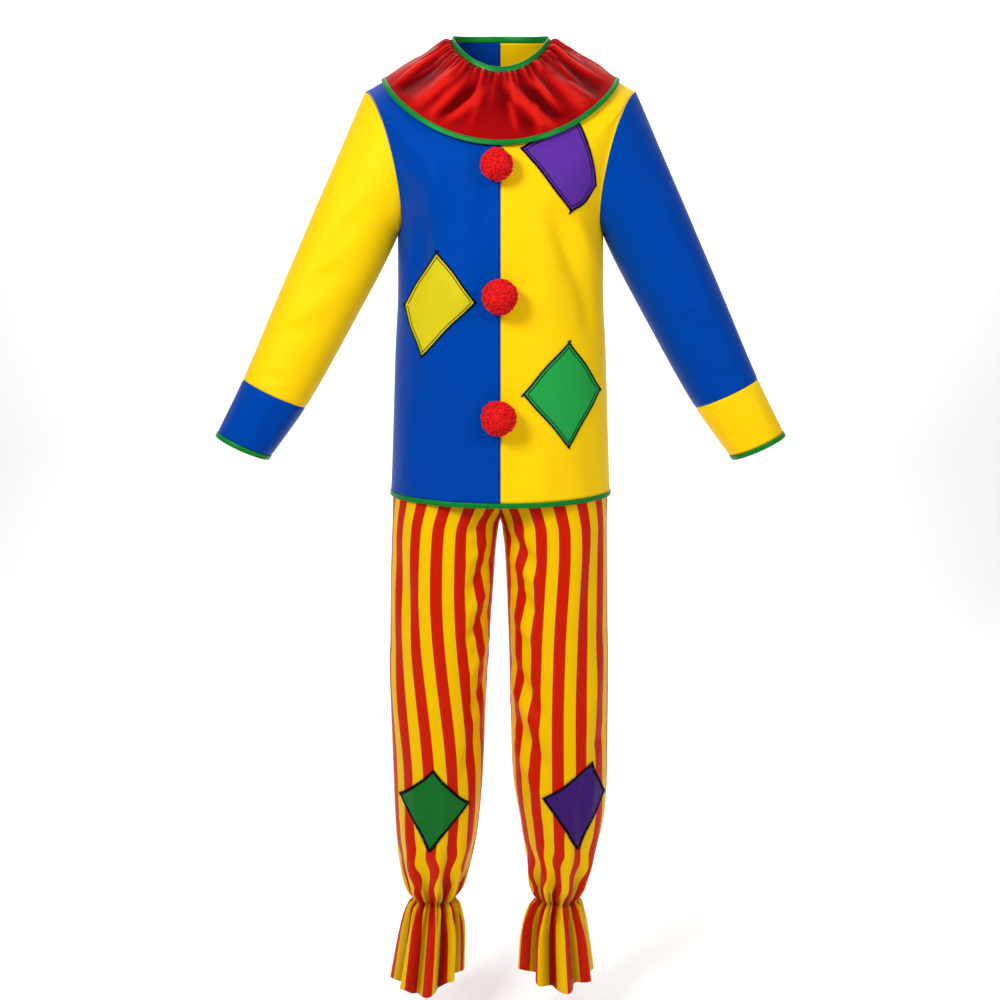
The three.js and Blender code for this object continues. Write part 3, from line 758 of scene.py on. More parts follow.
# %% Trousers
LEG_CREASES = {
    LEFT: [
        Crease(10, -690, 40, -716, 8, 2.4),
        Crease(14, -716, 52, -752, 8, -3.8),
        Crease(18, -748, 60, -786, 8, 3.4),
        Crease(22, -786, 56, -836, 8, -3.4),
        Crease(20, -826, 50, -872, 8, 3.0),
        Crease(18, -905, 60, -976, 8, -3.6),
        Crease(20, -948, 66, -1020, 8, 3.6),
        Crease(24, -994, 70, -1064, 8, -3.4),
        Crease(26, -1040, 62, -1110, 8, 3.0),
        Crease(86, -676, 92, -744, 9, -2.0),
        Crease(140, -720, 122, -850, 12, -2.2),
        Crease(150, -880, 132, -1010, 11, 2.2),
        Crease(152, -1010, 140, -1040, 8, -1.6),
        Crease(112, -700, 104, -900, 16, 1.8),
        Crease(60, -1150, 76, -1250, 8, -2.8),
        Crease(104, -1196, 96, -1270, 6, 2.2),
        Crease(128, -1140, 112, -1250, 8, -2.8),
        Crease(92, -1088, 98, -1176, 6, 2.0),
        Crease(124, -1068, 117, -1170, 6, -2.2),
        Crease(139, -1078, 134, -1146, 6, 1.6),
    ],
    RIGHT: [
        Crease(-16, -684, -52, -712, 8, -3.2),
        Crease(-18, -716, -50, -754, 7, 3.2),
        Crease(-16, -752, -46, -792, 7, -3.8),
        Crease(-20, -792, -48, -830, 7, 3.6),
        Crease(-20, -830, -52, -872, 7, -3.6),
        Crease(-22, -874, -46, -924, 7, 3.0),
        Crease(-24, -930, -44, -986, 7, -3.0),
        Crease(-74, -668, -84, -740, 9, -2.2),
        Crease(-150, -740, -128, -860, 12, -2.4),
        Crease(-162, -900, -142, -1040, 11, 2.2),
        Crease(-108, -720, -112, -920, 16, 1.8),
        Crease(-34, -1010, -60, -1090, 9, -2.4),
        Crease(-66, -1160, -88, -1262, 8, -3.0),
        Crease(-96, -1196, -92, -1262, 6, 2.6),
        Crease(-122, -1190, -108, -1266, 7, -2.8),
        Crease(-144, -1150, -128, -1262, 8, 2.4),
        Crease(-80, -1078, -86, -1176, 6, 2.2),
        Crease(-108, -1084, -106, -1190, 6, -2.4),
        Crease(-128, -1088, -122, -1180, 6, 2.0),
    ],
}
LEG_COLUMNS = 60
# How far the stripes lean out of plumb: height, then distance towards the outside.
DRIFT = {
    LEFT: ([-424, -703, -881, -1005, -1067, -1240, -1420], [6, 0, -14, -18, -18, -22, -24]),
    RIGHT: ([-424, -780, -1067, -1240, -1430], [6, 0, -31, -39, -45]),
}
LEG_SHIFT = {LEFT: 0.0, RIGHT: 0.043}  # how far the pleats are turned round each leg
BACK_LOWER = (26, 34)  # how much lower the creases start and end at the back
WANDER = 4.5  # how far the stripes stray where the cloth bunches above the elastic
PLEAT_SHADE = (0.42, 0.6)  # shading at mid height of a pleat, and its change over one pleat's depth
LEGS = {LEFT: LEFT_LEG, RIGHT: RIGHT_LEG}


def leg_grid(face, side):
    """A trouser panel, its cloth coordinates, and the painted shade of each point, darker deep in a pleat."""
    leg = LEGS[side]
    hem = leg["z"].min()
    heights = np.concatenate([np.linspace(-424, -1150, 150), np.linspace(-1150, hem, 96)[1:]])[:, None]
    shares = np.linspace(0, 1, LEG_COLUMNS + 1)[None, :]
    grid, a = leg_point(leg, face, heights, shares, LEG_SHIFT[side])
    hang = ease(-heights, -ELASTIC_Z + 20, -hem)
    share = (a + QUARTER) / (4 * QUARTER)
    box_pleat = ease(share, 0.13, 0.17) * (1 - ease(share, 0.32, 0.36)) if face == FRONT else 0
    grid[..., 2] -= hang * 7 * box_pleat + hang * 2.0 * np.sin(17 * share + 3 * side)
    grid[..., 1] += face * hang * 2.5 * box_pleat
    core = np.array([90.0 * side, 0, -900])
    grid[..., 0] *= side
    normals = grid_normals(grid, False, core)
    normals[:, 0, 0] = 0
    radius = true_radius(leg, heights)
    around = radius * a if face == FRONT else radius * (math.pi - a)
    slack = ease(-heights, 1175, 1225) * (1 - ease(-heights, 1262, 1288))
    wander = WANDER * slack * np.sin(heights / 11 + 25 * share)
    uv = np.stack(np.broadcast_arrays(around + wander - smooth(*DRIFT[side])(heights), -heights), -1)
    lengths = arc_uv(grid)[..., 0]
    to_outer = lengths[:, -1:] - lengths
    loose = (ease(to_outer, 0, 10) * ease(lengths, 0, 6))[..., None]
    creases = LEG_CREASES[side]
    if face == BACK:
        creases = [c._replace(z0=c.z0 - BACK_LOWER[0], z1=c.z1 - BACK_LOWER[1]) for c in creases]
    moved = grid + (press(grid, normals, creases) - grid) * loose
    moved += normals * (dip(to_outer) + dip(lengths))[..., None]
    moved[..., 0] += side * LIFT
    # Painted shade: darker deep in a pleat, from just above the elastic down the frill.
    depth = PLEAT_SHADE[0] - PLEAT_SHADE[1] * leg_fold(a, face, heights, 1.0, LEG_SHIFT[side])
    hollow = np.clip(depth, 0, 1) * ease(-heights, 1215, -ELASTIC_Z)
    return moved, uv, hollow


TROUSERS = {}
for face_name, face in (("front", FRONT), ("back", BACK)):
    for side_name, side, cloth in (("right", RIGHT, RIGHT_STRIPES), ("left", LEFT, LEFT_STRIPES)):
        name = f"trouser_{face_name}_{side_name}"
        grid, uv, hollow = leg_grid(face, side)
        panel = grid_mesh(name + "_cloth", grid, uv, False, np.array([90.0 * side, 0, -900]), cloth)
        # The painted shade of the pleats goes to the shader as a point attribute.
        mask = panel.data.attributes.new("hollow", "FLOAT", "POINT")
        mask.data.foreach_set("value", hollow.ravel())
        solidify(panel)
        TROUSERS[name] = panel
        width, length, area = spans(grid)
        declare(panel, name, "striped_cloth", (width * 1.25, length, area * 1.12))
print("trouser panels:", len(TROUSERS))

# %% [markdown]
# The waistband is a plain elastic casing. The tunic hides it, so it is made simply, as a ring with a few
# fine gathers.

# %% Waistband
WAIST_COLUMNS = 120

def ellipse_ring(width, depth, z):
    """A closed level ring, starting at the centre front and turning to the wearer's left."""
    a = np.linspace(0, 2 * math.pi, WAIST_COLUMNS, endpoint=False)
    return np.stack([width * np.sin(a), -depth * np.cos(a), np.full(WAIST_COLUMNS, float(z))], -1), a


WAIST = LEFT_LEG["z"].max()
rings = []
for height in np.linspace(30, 0.6, 12):
    ring, angle = ellipse_ring(LEFT_LEG["width"][0], LEFT_LEG["depth"][0], WAIST + height)
    rings.append(ring * (1 + 0.008 * np.cos(52 * angle[:, None]) * (1, 1, 0)))
grid = np.array(rings)
uv = ring_uv(grid)
core = np.array([0, 0, WAIST])
waistband = solidify(grid_mesh("waistband_cloth", grid, uv, True, core, LEFT_STRIPES), 1.8 * MM)
width, length, area = spans(grid, True)
declare(waistband, "waistband", "striped_cloth", (width * 1.2, length, area * 1.2))
print("waistband girth in m:", round(width, 3))

# %% [markdown]
# The collar is one long strip of velour, gathered at the neck and let out to a wide smooth edge. Close to the
# neck the gathers are narrow and deep. They fade at different lengths, and a few broad folds go on to the
# edge. A fixed seed makes them uneven in the same way each time.

# %% Collar
COLLAR_ROWS = (0.0, 1.86)  # where it starts and ends, in rows of the yoke
COLLAR_LIFT = (4.5, 8.0)  # above the tunic, at the neck and at the edge
COLLAR_CORE = np.array([0, 0, -230.0])
COLLAR_COLUMNS = 500
GATHER_COUNT = 70
SOFT_FOLDS = 34
BROAD_FOLDS = table("place slant width depth start", [
    # turns from the centre front to the wearer's left, how far the fold leans, and where it starts
    (0.000, 0.075, 0.011, 2.6, 0.30),
    (0.992, -0.085, 0.012, 2.4, 0.42),
    (0.955, -0.050, 0.012, -2.2, 0.40),
    (0.925, -0.030, 0.012, 2.4, 0.30),
    (0.048, 0.050, 0.010, -2.0, 0.45),
    (0.075, 0.020, 0.010, 2.2, 0.40),
    (0.110, 0.020, 0.016, 2.0, 0.35),
    (0.165, 0.010, 0.020, -1.2, 0.40),
    (0.225, 0.000, 0.022, 1.1, 0.45),
    (0.300, 0.010, 0.022, -1.8, 0.40),
    (0.400, 0.010, 0.020, 2.0, 0.40),
    (0.500, 0.010, 0.020, -2.0, 0.35),
    (0.600, -0.010, 0.020, 2.0, 0.40),
    (0.710, -0.010, 0.022, -1.8, 0.40),
    (0.780, 0.000, 0.022, 1.0, 0.45),
    (0.840, -0.020, 0.018, -1.3, 0.40),
    (0.885, -0.020, 0.015, 1.8, 0.35),
])


def quarters(r, columns):
    """The panels in turn round the tunic at row number r: face, places in the ring, and the points there."""
    turn = np.linspace(0, 4, columns, endpoint=False)
    for quarter, (face, side) in enumerate([(FRONT, LEFT), (BACK, LEFT), (BACK, RIGHT), (FRONT, RIGHT)]):
        here = (turn >= quarter) & (turn < quarter + 1)
        part = np.mod(turn[here], 1)
        u = part if quarter % 2 == 0 else 1 - part
        yield face, here, tunic_point(face, np.full(u.shape, float(r)), u) * (side, 1, 1)


def yoke_ring(r, columns):
    """A smooth ring of the tunic's yoke at row number r, from the centre front to the wearer's left."""
    ring = np.zeros((columns, 3))
    for _, here, points in quarters(r, columns):
        ring[here] = points
    for _ in range(columns // 2):
        ring = 0.5 * ring + 0.25 * (np.roll(ring, 1, 0) + np.roll(ring, -1, 0))
    return ring


def collar_relief(turn, t):
    """Height of the gathers and folds over the collar at share t from the neck to the edge."""
    rng = np.random.default_rng(11)
    relief = np.zeros(turn.shape)
    for i in range(GATHER_COUNT):
        place = (i + rng.uniform(-0.38, 0.38)) / GATHER_COUNT
        length = rng.choice([rng.uniform(0.16, 0.4), rng.uniform(0.5, 0.85)], p=[0.45, 0.55])
        lean = rng.uniform(-0.008, 0.008)
        gap = np.mod(turn - place - lean * t + 0.5, 1) - 0.5
        width = 0.0042 * (1 + rng.uniform(0, 0.5) + 0.9 * t)
        fade = np.clip(1 - t / length, 0, 1) ** 0.7
        relief += rng.uniform(3.2, 6.0) * fade * np.exp(-(np.abs(gap / width) ** 1.6))
    for i in range(SOFT_FOLDS):
        place = (i + rng.uniform(-0.4, 0.4)) / SOFT_FOLDS
        lean = rng.uniform(-0.06, 0.06)
        start = rng.uniform(0.1, 0.52)
        gap = np.mod(turn - place - lean * t + 0.5, 1) - 0.5
        strength = ease(t, start, start + 0.15) * (1 - ease(t, start + 0.3, start + 0.6))
        relief += rng.uniform(1.4, 2.8) * strength * np.exp(-((gap / 0.006) ** 2))
    for place, slant, width, depth, start in zip(*BROAD_FOLDS.values()):
        gap = np.mod(turn - place - slant * t + 0.5, 1) - 0.5
        strength = ease(t, start - 0.25, start + 0.2) * (1 - 0.8 * ease(t, 0.84, 1.0))
        relief += 2.2 * depth * strength * np.exp(-((gap / width) ** 2))
    return relief


def collar_grid(rows):
    """The collar with its folds, its outward directions, and the height of the folds."""
    shares = np.linspace(0, 1, rows)
    first, last = COLLAR_ROWS
    grid = np.array([yoke_ring(first + (last - first) * t, COLLAR_COLUMNS) for t in shares])
    turn = np.broadcast_to(np.linspace(0, 1, COLLAR_COLUMNS, endpoint=False), grid.shape[:2])
    t = np.broadcast_to(shares[:, None], grid.shape[:2])
    away = grid - COLLAR_CORE
    away /= np.linalg.norm(away, axis=-1, keepdims=True)
    lift = (COLLAR_LIFT[0] + (COLLAR_LIFT[1] - COLLAR_LIFT[0]) * t) * (0.2 + 0.8 * ease(t, 0, 0.1))
    base = grid + away * lift[..., None]
    normals = grid_normals(base, True, COLLAR_CORE)
    relief = collar_relief(turn, t) * (0.35 + 0.65 * ease(t, 0, 0.08))
    return base + normals * relief[..., None], normals, relief


def painted_fold_shading_of(relief, reach=26):
    """How high the cloth stands over what is round it, from painted shade at 0 in a trough to painted
    highlight at 1 on a ridge.
    """
    level = relief
    for _ in range(reach):
        level = 0.5 * level + 0.25 * (np.roll(level, 3, 1) + np.roll(level, -3, 1))
    shaded = 0.5 + (relief - level) / 4.4
    # a painted shadow along the neck, fading towards the edge
    neck_shadow = 0.35 * np.exp(-np.linspace(0, 1, len(relief)) / 0.07)
    return np.clip(shaded - neck_shadow[:, None], 0, 1)


COLLAR_GRID, COLLAR_NORMALS, COLLAR_RELIEF = collar_grid(60)
collar = grid_mesh("collar_cloth", COLLAR_GRID, ring_uv(COLLAR_GRID), True, COLLAR_CORE, VELOUR)
# The fold relief is painted into the colour: painted shade in the troughs, painted highlights on the ridges.
nap = collar.data.attributes.new("nap", "FLOAT", "POINT")
nap.data.foreach_set("value", painted_fold_shading_of(COLLAR_RELIEF).ravel())
solidify(collar, 1.1 * MM)
width, length, area = spans(COLLAR_GRID, True)
declare(collar, "collar", "red_velvet", (width, length, area * 1.12))
print("collar: edge and depth in m:", round(width, 3), round(length, 3))

# %% [markdown]
# Bindings are folded strips of green satin. Each is a flat rounded band, swept along the edge that it
# covers, with a line of stitching near one side.

# %% Bindings
BAND_POINTS = 16
BAND_THICKNESS = 2.2
HEM_COLUMNS = 360
CUFF_COLUMNS = 120
CUFF_BAND = 7.5  # width of a cuff binding, which laps over the end of the cuff


def blunt(wave, power):
    """A wave with its peaks flattened."""
    return np.sign(wave) * np.abs(wave) ** power


def band(name, edge_a, edge_b, normals):
    """A rounded flat band between two rings of points, with a groove for its stitches."""
    a = np.linspace(0, 2 * math.pi, BAND_POINTS, endpoint=False)
    across, out = blunt(np.cos(a), 0.7), blunt(np.sin(a), 0.6)
    groove = np.where((out > 0) & (np.abs(across - 0.55) < 0.2), 0.75, 1.0)
    middle, half = (edge_a + edge_b) / 2, (edge_b - edge_a) / 2
    grid = (
        middle[None]
        + across[:, None, None] * half[None]
        + (out * groove)[:, None, None] * normals[None] * BAND_THICKNESS / 2
    )
    grid = np.concatenate([grid, grid[:1]])
    piece = grid_mesh(name, grid, arc_uv(grid), True, middle.mean(0), BINDING_CLOTH)
    face_outward(piece)
    return piece


def face_outward(piece):
    """Joins equal points and turns all faces out."""
    work = bmesh.new()
    work.from_mesh(piece.data)
    bmesh.ops.remove_doubles(work, verts=work.verts, dist=1e-6)
    bmesh.ops.recalc_face_normals(work, faces=work.faces)
    work.to_mesh(piece.data)
    work.free()


def ring_out(ring):
    """Level outward directions of a ring."""
    along = np.roll(ring, -1, 0) - np.roll(ring, 1, 0)
    out = np.cross(along, (0, 0, 1.0))
    out /= np.linalg.norm(out, axis=-1, keepdims=True)
    return out if (out * (ring - ring.mean(0))).sum() > 0 else -out


def hem_ring(r):
    """A ring of the tunic near its hem, with the creases of the panels."""
    ring = np.zeros((HEM_COLUMNS, 3))
    wide, deep = BODY["width"][-1], BODY["depth"][-1]
    for face, here, flat in quarters(r, HEM_COLUMNS):
        normals = np.stack([flat[:, 0] / wide**2, flat[:, 1] / deep**2, 0 * flat[:, 0]], -1)
        normals /= np.linalg.norm(normals, axis=-1, keepdims=True)
        pressed = press(flat, normals, FRONT_CREASES if face == FRONT else BACK_CREASES)
        loose = ease(np.abs(flat[:, 1]), 3, 20)[:, None]
        ring[here] = flat + (pressed - flat) * loose
    return ring


upper, lower = hem_ring(HEM_TOP), hem_ring(HEM)
BINDING_LINES = {"hem_binding": (upper, lower, ring_out(upper))}
last = COLLAR_GRID[-1]
down = COLLAR_GRID[-1] - COLLAR_GRID[-4]
down /= np.linalg.norm(down, axis=-1, keepdims=True)
BINDING_LINES["collar_binding"] = (last - down * 0.6, last + down * BINDING_WIDTH, COLLAR_NORMALS[-1])
neck = yoke_ring(0, 300)
tilt = np.array([[0.985, 0.985, 1.0], [0.965, 0.965, 1.0]])
neck_low, neck_high = neck * tilt[0] - (0, 0, 0.5), neck * tilt[1] + (0, 0, 1.5 + BINDING_WIDTH)
BINDING_LINES["neck_binding"] = (neck_low, neck_high, ring_out(neck))
for side_name, side in (("right", RIGHT), ("left", LEFT)):
    a = np.linspace(0, 2 * math.pi, CUFF_COLUMNS, endpoint=False)
    ends = (CUFF_END - CUFF_BAND / CUFF_LENGTH, CUFF_END)
    start, end = (sleeve_point(np.full(CUFF_COLUMNS, k), a) * (side, 1, 1) for k in ends)
    out = start - start.mean(0)
    out /= np.linalg.norm(out, axis=-1, keepdims=True)
    BINDING_LINES[f"cuff_binding_{side_name}"] = (start, end, out)
for name, (edge_a, edge_b, normals) in BINDING_LINES.items():
    declare(band(name + "_cloth", edge_a, edge_b, normals), name, "green_binding")
print("bindings:", len(BINDING_LINES))

# %% [markdown]
# Stitches are geometry that repeats along a path, so one Geometry Nodes tree makes all of them. It lays a
# short thread on each point of a resampled line. A turn of zero gives a running stitch, and a quarter turn
# gives the bars of an edging.

# %% Stitch tree


def new_geometry_tree(name, inputs):
    """A Geometry Nodes tree with its inputs, as the tree, its input sockets and its output node."""
    tree = bpy.data.node_groups.new(name, "GeometryNodeTree")
    tree.interface.new_socket("Geometry", in_out="INPUT", socket_type="NodeSocketGeometry")
    for label, kind, default in inputs:
        socket = tree.interface.new_socket(label, in_out="INPUT", socket_type="NodeSocket" + kind)
        if default is not None:
            socket.default_value = default
    tree.interface.new_socket("Geometry", in_out="OUTPUT", socket_type="NodeSocketGeometry")
    return tree, tree.nodes.new("NodeGroupInput").outputs, tree.nodes.new("NodeGroupOutput")


def stitch_tree():
    inputs = [
        ("Spacing", "Float", 0.002),
        ("Length", "Float", 0.0014),
        ("Thread", "Float", 0.0003),
        ("Turn", "Float", 0.0),
        ("Uneven", "Float", 0.1),
        ("Seed", "Int", 1),
        ("Material", "Material", None),
    ]
    tree, given, result = new_geometry_tree("stitch_row", inputs)
    line = add_node(tree, "GeometryNodeMeshToCurve", Mesh=given["Geometry"])
    points = add_node(tree, "GeometryNodeResampleCurve", {"mode": "LENGTH"}, Curve=line.outputs[0])
    tree.links.new(given["Spacing"], points.inputs["Length"])
    tangent = tree.nodes.new("GeometryNodeInputTangent").outputs[0]
    named = add_node(tree, "GeometryNodeInputNamedAttribute", {"data_type": "FLOAT_VECTOR"}, Name="out")
    along = add_node(tree, "FunctionNodeAlignRotationToVector", {"axis": "X"}, Vector=tangent).outputs[0]
    flat = add_node(
        tree, "FunctionNodeAlignRotationToVector", {"axis": "Z", "pivot_axis": "X"},
        Rotation=along, Vector=named.outputs[0],
    ).outputs[0]
    wobble = add_node(tree, "FunctionNodeRandomValue", {"data_type": "FLOAT"}, Seed=given["Seed"])
    tree.links.new(math_node(tree, "MULTIPLY", given["Uneven"], -1.0), wobble.inputs[2])
    tree.links.new(given["Uneven"], wobble.inputs[3])
    turn = math_node(tree, "ADD", given["Turn"], wobble.outputs[1])
    spin = add_node(tree, "ShaderNodeCombineXYZ", Z=turn).outputs[0]
    turned = add_node(
        tree, "FunctionNodeRotateRotation", {"rotation_space": "LOCAL"}, Rotation=flat, Rotate_By=spin
    ).outputs[0]
    thread = add_node(tree, "GeometryNodeMeshUVSphere", Segments=5, Rings=4, Radius=0.5).outputs[0]
    size = add_node(tree, "ShaderNodeCombineXYZ", X=given["Length"], Y=given["Thread"], Z=given["Thread"])
    laid = add_node(
        tree,
        "GeometryNodeInstanceOnPoints",
        Points=points.outputs[0],
        Instance=thread,
        Rotation=turned,
        Scale=size.outputs[0],
    )
    real = add_node(tree, "GeometryNodeRealizeInstances", Geometry=laid.outputs[0])
    smooth_faces = add_node(tree, "GeometryNodeSetShadeSmooth", Geometry=real.outputs[0])
    final = add_node(tree, "GeometryNodeSetMaterial", Geometry=smooth_faces.outputs[0])
    tree.links.new(given["Material"], final.inputs["Material"])
    tree.links.new(final.outputs[0], result.inputs[0])
    return tree


def run_tree(piece, tree, **values):
    """Runs a tree on a piece with the given inputs and keeps the result as a plain mesh."""
    modifier = piece.modifiers.new(tree.name, "NODES")
    modifier.node_group = tree
    for item in tree.interface.items_tree:
        if item.in_out == "INPUT" and item.name in values:
            modifier[item.identifier] = values[item.name]
    depsgraph = bpy.context.evaluated_depsgraph_get()
    mesh = bpy.data.meshes.new_from_object(piece.evaluated_get(depsgraph))
    piece.modifiers.remove(modifier)
    piece.data = mesh
    mesh.name = piece.name
    return piece


STITCH_TREE = stitch_tree()
STITCH_COUNT = 0


def stitch(name, lines, slot, **values):
    """Stitches along polylines; each line holds its points and the directions away from the cloth."""
    mesh = bpy.data.meshes.new(name)
    places, edges, outs = [], [], []
    for points, normals in lines:
        start = len(places)
        places += (np.asarray(points) * MM).tolist()
        outs += np.asarray(normals).ravel().tolist()
        edges += [(start + i, start + i + 1) for i in range(len(points) - 1)]
    mesh.from_pydata(places, edges, [])
    attribute = mesh.attributes.new("out", "FLOAT_VECTOR", "POINT")
    attribute.data.foreach_set("vector", outs)
    piece = bpy.data.objects.new(name, mesh)
    bpy.context.collection.objects.link(piece)
    run_tree(piece, STITCH_TREE, **values)
    return declare(piece, None, slot)


def closed_line(points, normals):
    return np.vstack([points, points[:1]]), np.vstack([normals, normals[:1]])


for name, (edge_a, edge_b, normals) in BINDING_LINES.items():
    place = edge_a * 0.24 + edge_b * 0.76 + normals * 1.05
    row = stitch(
        name + "_stitches",
        [closed_line(place, normals)],
        "green_binding",
        Spacing=0.0026,
        Length=0.0021,
        Thread=0.0005,
        Material=GREEN_THREAD,
    )
    STITCH_COUNT += len(row.data.polygons)
print("faces in the binding stitches:", STITCH_COUNT)

# %% [markdown]
# The patches are lozenges of plain cloth, sewn on by hand with black thread. On the tunic a thin edging runs
# round each one, with a second line of thread a few millimetres inside it. On the knees the edging is one
# wide band. The outlines are not quite straight, and the thread runs past some corners.

# %% Patches
Patch = namedtuple("Patch", "name panel corners bulge bars inset slot")
PATCHES = [
    # the corners as seen from the front, then how far each side bows out
    Patch("patch_chest", "tunic_front_left", [(29, -160), (107, -120), (134, -208), (99, -246)],
          (1.0, 5.0, 4.5, -1.0), 4.2, 4.4, "patch_purple"),
    Patch("patch_waist_right", "tunic_front_right", [(-89, -303), (-36, -373), (-112, -449), (-138, -376)],
          (1.0, -1.0, 1.5, 1.5), 3.2, 3.9, "patch_yellow"),
    Patch("patch_waist_left", "tunic_front_left", [(97, -429), (144, -497), (97, -577), (32, -501)],
          (1.5, 1.0, -1.0, 1.0), 3.6, 4.2, "patch_green"),
    Patch("patch_knee_right", "trouser_front_right",
          [(-100, -1063), (-49, -1120), (-107, -1192), (-151, -1108)],
          (-2.5, -1.5, -2.0, -1.5), 6.0, 0, "patch_green"),
    Patch("patch_knee_left", "trouser_front_left",
          [(136, -1055), (157, -1108), (117, -1192), (65, -1108)],
          (-1.0, -1.5, -2.0, -2.0), 6.0, 0, "patch_purple"),
]
PATCH_STEPS = 36
PATCH_LIFT = 1.0  # above the panel's cloth
THREAD_LIFT = 1.35
EDGE_STEPS = 60


def panel_tree(panel):
    """A search tree of the panel's cloth without its thickness."""
    mesh = panel.data
    places = [v.co for v in mesh.vertices]
    return BVHTree.FromPolygons(places, [p.vertices for p in mesh.polygons])


def on_panel(tree, x, z, lift):
    """The point of the panel at x, z as seen from the front, and the direction away from it."""
    place, normal, _, _ = tree.ray_cast(Vector((x * MM, -1, z * MM)), Vector((0, 1, 0)))
    if place is None:
        place, normal, _, _ = tree.find_nearest(Vector((x * MM, -0.05, z * MM)))
    normal = np.array(normal if normal.y < 0 else -normal)
    return np.array(place) / MM + normal * lift, normal


def side_points(patch, side, steps, inset=0.0, over=(0.0, 0.0)):
    """Points along one side of a lozenge, bowed and set in, in front view."""
    corners = np.array(patch.corners, float)
    start, end = corners[side], corners[(side + 1) % 4]
    along = (end - start) / np.linalg.norm(end - start)
    out = np.array([along[1], -along[0]])
    if out @ (start - corners.mean(0)) < 0:
        out = -out
    length = np.linalg.norm(end - start)
    t = np.linspace(-over[0] / length, 1 + over[1] / length, steps)[:, None]
    wave = 0.5 * np.sin(9 * t + side * 2.1 + len(patch.name))
    shrunk = start + along * 1.32 * inset + (end - start) * t * (1 - 2.4 * inset / length)
    return shrunk + out * (patch.bulge[side] * np.sin(math.pi * np.clip(t, 0, 1)) + wave - inset)


def patch_grid(patch, tree):
    """A grid over the lozenge, blended from its four bowed sides."""
    top, right, bottom, left = (side_points(patch, side, PATCH_STEPS + 1) for side in range(4))
    bottom, left = bottom[::-1], left[::-1]
    s = np.linspace(0, 1, PATCH_STEPS + 1)[None, :, None]
    t = np.linspace(0, 1, PATCH_STEPS + 1)[:, None, None]
    c = np.array(patch.corners, float)
    flat = (
        (1 - t) * top[None] + t * bottom[None] + (1 - s) * left[:, None] + s * right[:, None]
        - (1 - s) * (1 - t) * c[0] - s * (1 - t) * c[1] - s * t * c[2] - (1 - s) * t * c[3]
    )
    placed = [[on_panel(tree, x, z, PATCH_LIFT) for x, z in row] for row in flat]
    return np.array([[p for p, _ in row] for row in placed]), flat


def thread_line(tree, line):
    """A line in front view laid on the panel, as points and the directions away from it."""
    laid = [on_panel(tree, x, z, THREAD_LIFT) for x, z in line]
    return [place for place, _ in laid], [normal for _, normal in laid]


for patch in PATCHES:
    panel = TUNIC.get(patch.panel) or TROUSERS[patch.panel]
    tree = panel_tree(panel)
    grid, flat = patch_grid(patch, tree)
    core = grid.mean((0, 1)) + (0, 200, 0)
    piece = grid_mesh(patch.name + "_cloth", grid, flat, False, core, PATCH_CLOTH[patch.name])
    solidify(piece, 1.0 * MM)
    declare(piece, patch.name, patch.slot)
    rng = np.random.default_rng(len(patch.name))
    borders = []
    for side in range(4):
        over = rng.uniform(0.5, 4.5, 2) if patch.inset else rng.uniform(0, 1.5, 2)
        borders.append(thread_line(tree, side_points(patch, side, EDGE_STEPS, 0, over)))
    edging = stitch(
        patch.name + "_edging", borders, patch.slot,
        Spacing=0.00085, Length=patch.bars * MM, Thread=0.00105,
        Turn=QUARTER, Uneven=0.25, Seed=3, Material=THREAD,
    )
    if patch.inset:
        inner = [thread_line(tree, side_points(patch, side, EDGE_STEPS, patch.inset)) for side in range(4)]
        stitch(
            patch.name + "_thread", inner, patch.slot,
            Spacing=0.001, Length=0.0019, Thread=0.0011, Turn=0.5, Uneven=0.4, Seed=7, Material=THREAD,
        )
    width, length, area = spans(grid)
    min(area, width * length)
    SHEETS.append(f"{piece.name}: {width:.3f} x {length:.3f} m, {area:.4f} m2")
print("patches:", len(PATCHES))

# %% [markdown]
# A pom-pom is yarn wound and cut into short curls. One tree scatters bent pieces of yarn over a lumpy ball.
# The back stays flat, where it is sewn to the tunic.

# %% Pom-poms
Pompom = namedtuple("Pompom", "name x z radius")
POMPOMS = [
    Pompom("pompom_top", -5, -184, 23.5),
    Pompom("pompom_middle", -1, -365, 26),
    Pompom("pompom_bottom", -2, -533, 26),
]
POMPOM_BACK = 0.72  # where the flat back is, as a share of the radius


